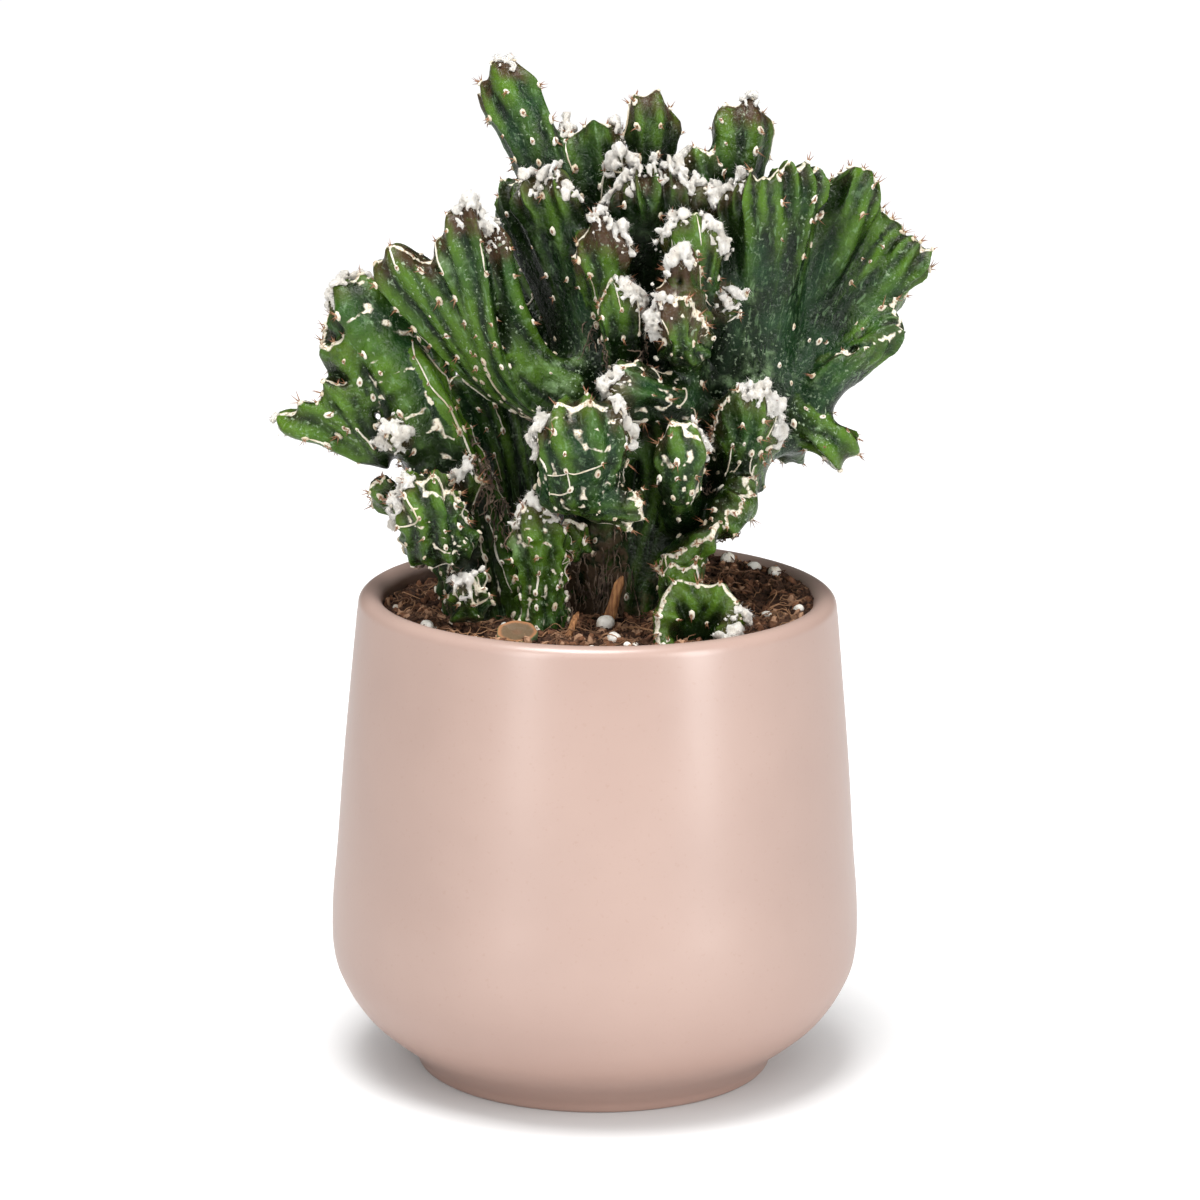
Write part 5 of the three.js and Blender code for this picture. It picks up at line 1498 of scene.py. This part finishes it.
# %% [markdown]
# ## Coir and perlite
#
# Coir fibres are thin, springy and tan. Each is a short bent line drawn by a seeded walk over the soil, and
# a tree turns all lines into tubes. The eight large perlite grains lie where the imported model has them, and
# smaller ones fill in, as in a real bag of potting soil.

# %% Coir fibres
FIBRES, FIBRE_LENGTH = 420, 15
FIBRE_RADIUS, FIBRE_LIFT, FIBRE_POINTS = (0.08, 0.2), (0.3, 2.2), (6, 12)
AT_WALL_TURN, AT_WALL_BACK = 1.3, 0.985


def fibre_lines(count, spread, longest):
    """Seeded walks over the soil, rising a little off it in the middle."""
    walks = []
    for _ in range(count):
        walk = []
        steps = int(rng.integers(*FIBRE_POINTS))
        start = rng.uniform(0, 1) ** 0.5 * spread
        way = rng.uniform(0, math.tau)
        x, y = start * math.cos(way), start * math.sin(way)
        heading, bend = rng.uniform(0, math.tau), rng.normal(0, 0.18)
        lift = rng.uniform(*FIBRE_LIFT)
        stride = rng.uniform(0.4, 1.0) * longest / steps
        for k in range(steps):
            walk.append((x, y, soil_height(x, y) + 0.2 + lift * math.sin(math.pi * k / (steps - 1))))
            heading += bend + rng.normal(0, 0.12)
            ahead = x + stride * math.cos(heading), y + stride * math.sin(heading)
            if math.hypot(*ahead) < SOIL_EDGE - 0.6:
                x, y = ahead
            else:
                heading += AT_WALL_TURN
                x, y = AT_WALL_BACK * x, AT_WALL_BACK * y
        walks.append(walk)
    return walks


def coir_finish():
    coir = Finish("coir")
    colour = coir.noise(60.0, 2.0, 0.5).between(0.35, 0.65).blend((0.10, 0.042, 0.018), (0.38, 0.20, 0.10))
    return coir.done(Base_Color=colour, Roughness=coir.noise(900.0, 2.0, 0.5).between(0.3, 0.7, 0.6, 0.85))


walks = fibre_lines(FIBRES, SOIL_EDGE - 3, FIBRE_LENGTH)
fibres = lines_object("coir_fibres", walks, rng.uniform(*FIBRE_RADIUS, FIBRES))
run(TUBE_TREE, fibres, Material=coir_finish())
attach(fibres, "root")

# %% Perlite
GRAINS = [(34, 38, 2.1), (41, 32, 1.8), (46, 24, 1.9), (2, -17, 2.2), (4, -30, 1.9), (-1, -40, 1.8),
          (-43, -20, 2.0), (-24, 36, 2.0)]
SMALL_GRAINS, SMALL_RADIUS = 34, (0.5, 1.3)


def grain_tree():
    """Sets an uneven, porous grain on each point."""
    tree = Shapes("Perlite grains", Seed=31)
    ball = tree.put("GeometryNodeMeshIcoSphere", {"Radius": 1.0, "Subdivisions": 3})
    turned = tree.tumbled((-0.2, -0.2, 0.0), (0.2, 0.2, 6.2))
    scale = tree.scaled(tree.combine(1.0, 0.9, 0.8), tree.stored("size"))
    grains = tree.real(tree.on_points(tree.given["Geometry"], ball, turned, scale))
    return tree.end(tree.pushed_out(tree.pushed_out(grains, 260.0, 0.0016, 1.0), 1400.0, 0.0004))


def perlite_finish():
    stone = Finish("perlite")
    grit, stain = stone.noise(1300.0, 3.0, 0.6), stone.noise(240.0, 3.0, 0.6)
    colour = stain.between(0.45, 0.75).blend((0.93, 0.89, 0.82), (0.66, 0.54, 0.40))
    colour = grit.between(0.5, 0.7, 0.0, 0.35).blend(colour, (0.50, 0.43, 0.34))
    return stone.done(grit, 0.0004, Base_Color=colour, Roughness=0.9)


spots = list(GRAINS)
for _ in range(SMALL_GRAINS):
    way, reach = rng.uniform(0, math.tau), rng.uniform(0.25, 1) ** 0.5 * (SOIL_EDGE - 2)
    spots.append((reach * math.cos(way), reach * math.sin(way), rng.uniform(*SMALL_RADIUS)))
places = [(x, y, soil_height(x, y) + 0.3 * r) for x, y, r in spots]
perlite = mesh_object("perlite_grains", places, size=[r * MM for _, _, r in spots])
run(grain_tree(), perlite, Material=perlite_finish())
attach(perlite, "root")
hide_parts(*[f"perlite_{i + 1}" for i in range(len(GRAINS))])

# %% [markdown]
# ## The cut stub, the splinter and the twig
#
# At the front left a shoot was sawn off: its face has dried to a dull tan inside an orange brown bark. It
# is a short ribbed column with a flat face, built ring by ring, so that the finish can read how far each
# point lies from the core. The splinter and the twig are split wood: a bar that tapers, roughened along its
# grain.

# %% Cut stub
STUB_FACE, STUB_RADIUS, STUB_LENGTH, STUB_TILT = (-20, -31, 121.5), 4.7, 22.0, math.radians(24)
STUB_COLUMNS, STUB_SIDE_RINGS, STUB_FACE_RINGS = 84, 20, 14
STUB_WIDENING, FACE_SHARE, FACE_DEPTH = 1.15, 0.88, 0.42


def stub_rings():
    """Radius, depth below the face, and nearness to the core, ring by ring from the foot to the core."""
    depths = np.linspace(STUB_LENGTH, 0.5, STUB_SIDE_RINGS)
    sides = [(STUB_RADIUS * (0.94 + 0.06 * d / STUB_LENGTH), d, 1.0) for d in depths]
    face_radius = FACE_SHARE * STUB_RADIUS
    lip = [(0.925 * STUB_RADIUS, 0.12, 1.0), (face_radius, 0.0, 0.97)]
    face = [(face_radius * q, FACE_DEPTH * (1 - q**2), q) for q in np.linspace(0.93, 0, STUB_FACE_RINGS)]
    return np.array(sides + lip + face)


rings = stub_rings()
angle = np.arange(STUB_COLUMNS) / STUB_COLUMNS * math.tau
radius = rings[:, :1] * (1 + 0.025 * np.cos(7 * angle + 0.4) * np.minimum(1, rings[:, 2:]))
x, y, z = STUB_WIDENING * radius * np.cos(angle), radius * np.sin(angle), -rings[:, 1:2] + 0 * angle
cosine, sine = math.cos(STUB_TILT), math.sin(STUB_TILT)
leaning = np.stack([x, y * cosine - z * sine, y * sine + z * cosine], -1) + np.array(STUB_FACE)
flesh = np.repeat(rings[:, 2], STUB_COLUMNS)
cut_face = np.repeat((rings[:, 1] < 0.45) & (rings[:, 2] < 0.99), STUB_COLUMNS)
stub = mesh_object("sawn_stub", leaning.reshape(-1, 3), grid_faces(len(rings), STUB_COLUMNS), flesh=flesh,
                   cut=cut_face)


def stub_finish():
    wood = Finish("sawn_stub")
    mottle = wood.noise(420.0, 4.0, 0.6)
    out = wood.stored("flesh") + mottle * 0.25
    face = out.between(0.25, 0.5).blend((0.135, 0.072, 0.034), (0.115, 0.070, 0.032))
    face = out.between(0.88, 1.08).blend(face, (0.30, 0.13, 0.05))
    bark = mottle.between(0.35, 0.65).blend((0.050, 0.115, 0.035), (0.15, 0.13, 0.07))
    return wood.done(mottle, 0.0006, Base_Color=wood.stored("cut").blend(bark, face),
                     Roughness=mottle.between(0.3, 0.7, 0.55, 0.85))


stub.data.materials.append(stub_finish())
stub.data.shade_smooth()
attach(stub, "root")
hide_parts("cut_stub")

# %% Splinter and twig
SPLINTERS = {"bark_splinter": ((1, -12, 114), (6, -13, 131), 3.2, 1.4),
             "twig": ((-9, -29, 115), (-5, -22, 124), 2.0, 2.0)}
SPLINTER_RINGS, SPLINTER_SIDES = 22, 20
SPLIT_FROM, SPLIT_DEPTH = 0.9, 0.04


def wood_finish():
    wood = Finish("split_wood")
    where = wood.put("ShaderNodeMapping", {"Vector": wood.where, "Scale": (1.0, 1.0, 0.18)})
    fibre, tint = wood.noise(1500.0, 4.0, 0.6, where), wood.noise(300.0, 3.0, 0.6, where)
    colour = fibre.between(0.35, 0.65).blend((0.24, 0.095, 0.035), (0.50, 0.24, 0.095))
    colour = tint.between(0.5, 0.75, 0.0, 0.6).blend(colour, (0.13, 0.055, 0.028))
    return wood.done(fibre, 0.0005, Base_Color=colour, Roughness=fibre.between(0.3, 0.7, 0.65, 0.9))


WOOD = wood_finish()
for name, (start, end, width, thickness) in SPLINTERS.items():
    start, end = np.array(start, float), np.array(end, float)
    rise = unit(end - start)
    side = unit(np.cross(rise, (0.0, 1.0, 0.0)))
    front = np.cross(side, rise)
    angle = np.arange(SPLINTER_SIDES) / SPLINTER_SIDES * math.tau
    a, h = np.meshgrid(angle, np.linspace(0, 1, SPLINTER_RINGS))
    notch = 1 + 0.12 * np.sin(3 * a + 9 * h) + 0.10 * np.sin(7 * a - 5 * h)
    taper = (1 - 0.3 * h) * np.minimum(1, 8 * (1 - h) + 0.35) * notch
    wide, deep = 0.5 * width * taper * np.cos(a), 0.5 * thickness * taper * np.sin(a)
    middle = start + (end - start) * (h + SPLIT_DEPTH * np.sin(2 * a) * (h > SPLIT_FROM))[..., None]
    points = middle + side * wide[..., None] + front * deep[..., None]
    count = SPLINTER_RINGS * SPLINTER_SIDES
    faces = grid_faces(SPLINTER_RINGS, SPLINTER_SIDES) + [list(range(count - SPLINTER_SIDES, count))]
    splinter = mesh_object("split_" + name, points.reshape(-1, 3), faces)
    splinter.data.materials.append(WOOD)
    splinter.data.shade_smooth()
    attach(splinter, "root")
    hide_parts(name)
print("wood pieces:", list(SPLINTERS))

# %% [markdown]
# ## Dry shreds
#
# In the dark gaps between the stems hang dead roots, dry skin and dust threads, and the woody trunk is
# stringy. Single hairs would vanish there, so these are a few hundred thin tubes. Each is a seeded walk
# that starts on the skin, keeps close to it and sinks a little, and the tree for tubes of the felt threads
# thickens it.

# %% Shreds
GAPS = [((-25, -9, 158), 9, 90, 0.25), ((-20, -11, 148), 8, 60, 0.3), ((-1, -10, 130), 11, 110, 0.9),
        ((25, -3, 202), 7, 50, 0.2), ((30, -6, 150), 7, 40, 0.3), ((-40, -16, 138), 8, 50, 0.4),
        ((6, -12, 190), 8, 40, 0.3)]
SHRED_STEP, SHRED_RADIUS, SHRED_LIFT, SHRED_POINTS = 0.7, (0.07, 0.22), (0.1, 1.1), (6, 16)


def shred(centre, reach, hang):
    """A walk near the skin that starts within reach of centre. hang says how much it sinks."""
    place = Vector(np.array(centre) + rng.normal(0, 0.5, 3) * reach) * MM
    heading = Vector(rng.normal(0, 1, 3)).normalized()
    walk = []
    for _ in range(int(rng.integers(*SHRED_POINTS))):
        near = [surface.find_nearest(place) for surface in surfaces.values()]
        found, normal, _, _ = min(near, key=lambda hit: hit[3])
        place = found + normal * (rng.uniform(*SHRED_LIFT) * MM)
        walk.append(tuple(place / MM))
        heading = (heading + Vector(rng.normal(0, 0.35, 3)) + Vector((0, 0, -hang))).normalized()
        place = place + heading * SHRED_STEP * MM
    return walk


def shred_finish():
    dry = Finish("dry_shreds")
    colour = dry.noise(260.0, 3.0, 0.6).between(0.35, 0.65).blend((0.045, 0.028, 0.018), (0.24, 0.17, 0.12))
    return dry.done(Base_Color=colour, Roughness=dry.noise(900.0, 2.0, 0.5).between(0.3, 0.7, 0.7, 0.9))


walks = [shred(centre, reach, hang) for centre, reach, count, hang in GAPS for _ in range(count)]
shreds = lines_object("dry_shreds", walks, rng.uniform(*SHRED_RADIUS, len(walks)))
run(TUBE_TREE, shreds, Roughness=0.0006, Material=shred_finish())
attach(shreds, "root")
print("shreds:", len(walks))

# %% [markdown]
# ## The size of the dressed model
#
# The box of the dressed model is printed, as the box of the imported model was at the start, and so is
# the number of triangles of each piece. The finer surface has to stay within the size of the imported model.

# %% Sizes
low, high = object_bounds()
sizes = {"cad": [list(cad_low), list(cad_high)], "visual": [list(low), list(high)]}
print("visual box in mm:", [round(c / MM, 1) for c in (*low, *high)])
meshes = [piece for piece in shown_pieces() if piece.type == "MESH"]
triangles = {piece.name: sum(len(face.vertices) - 2 for face in piece.data.polygons) for piece in meshes}
print("triangles:", sum(triangles.values()), triangles)
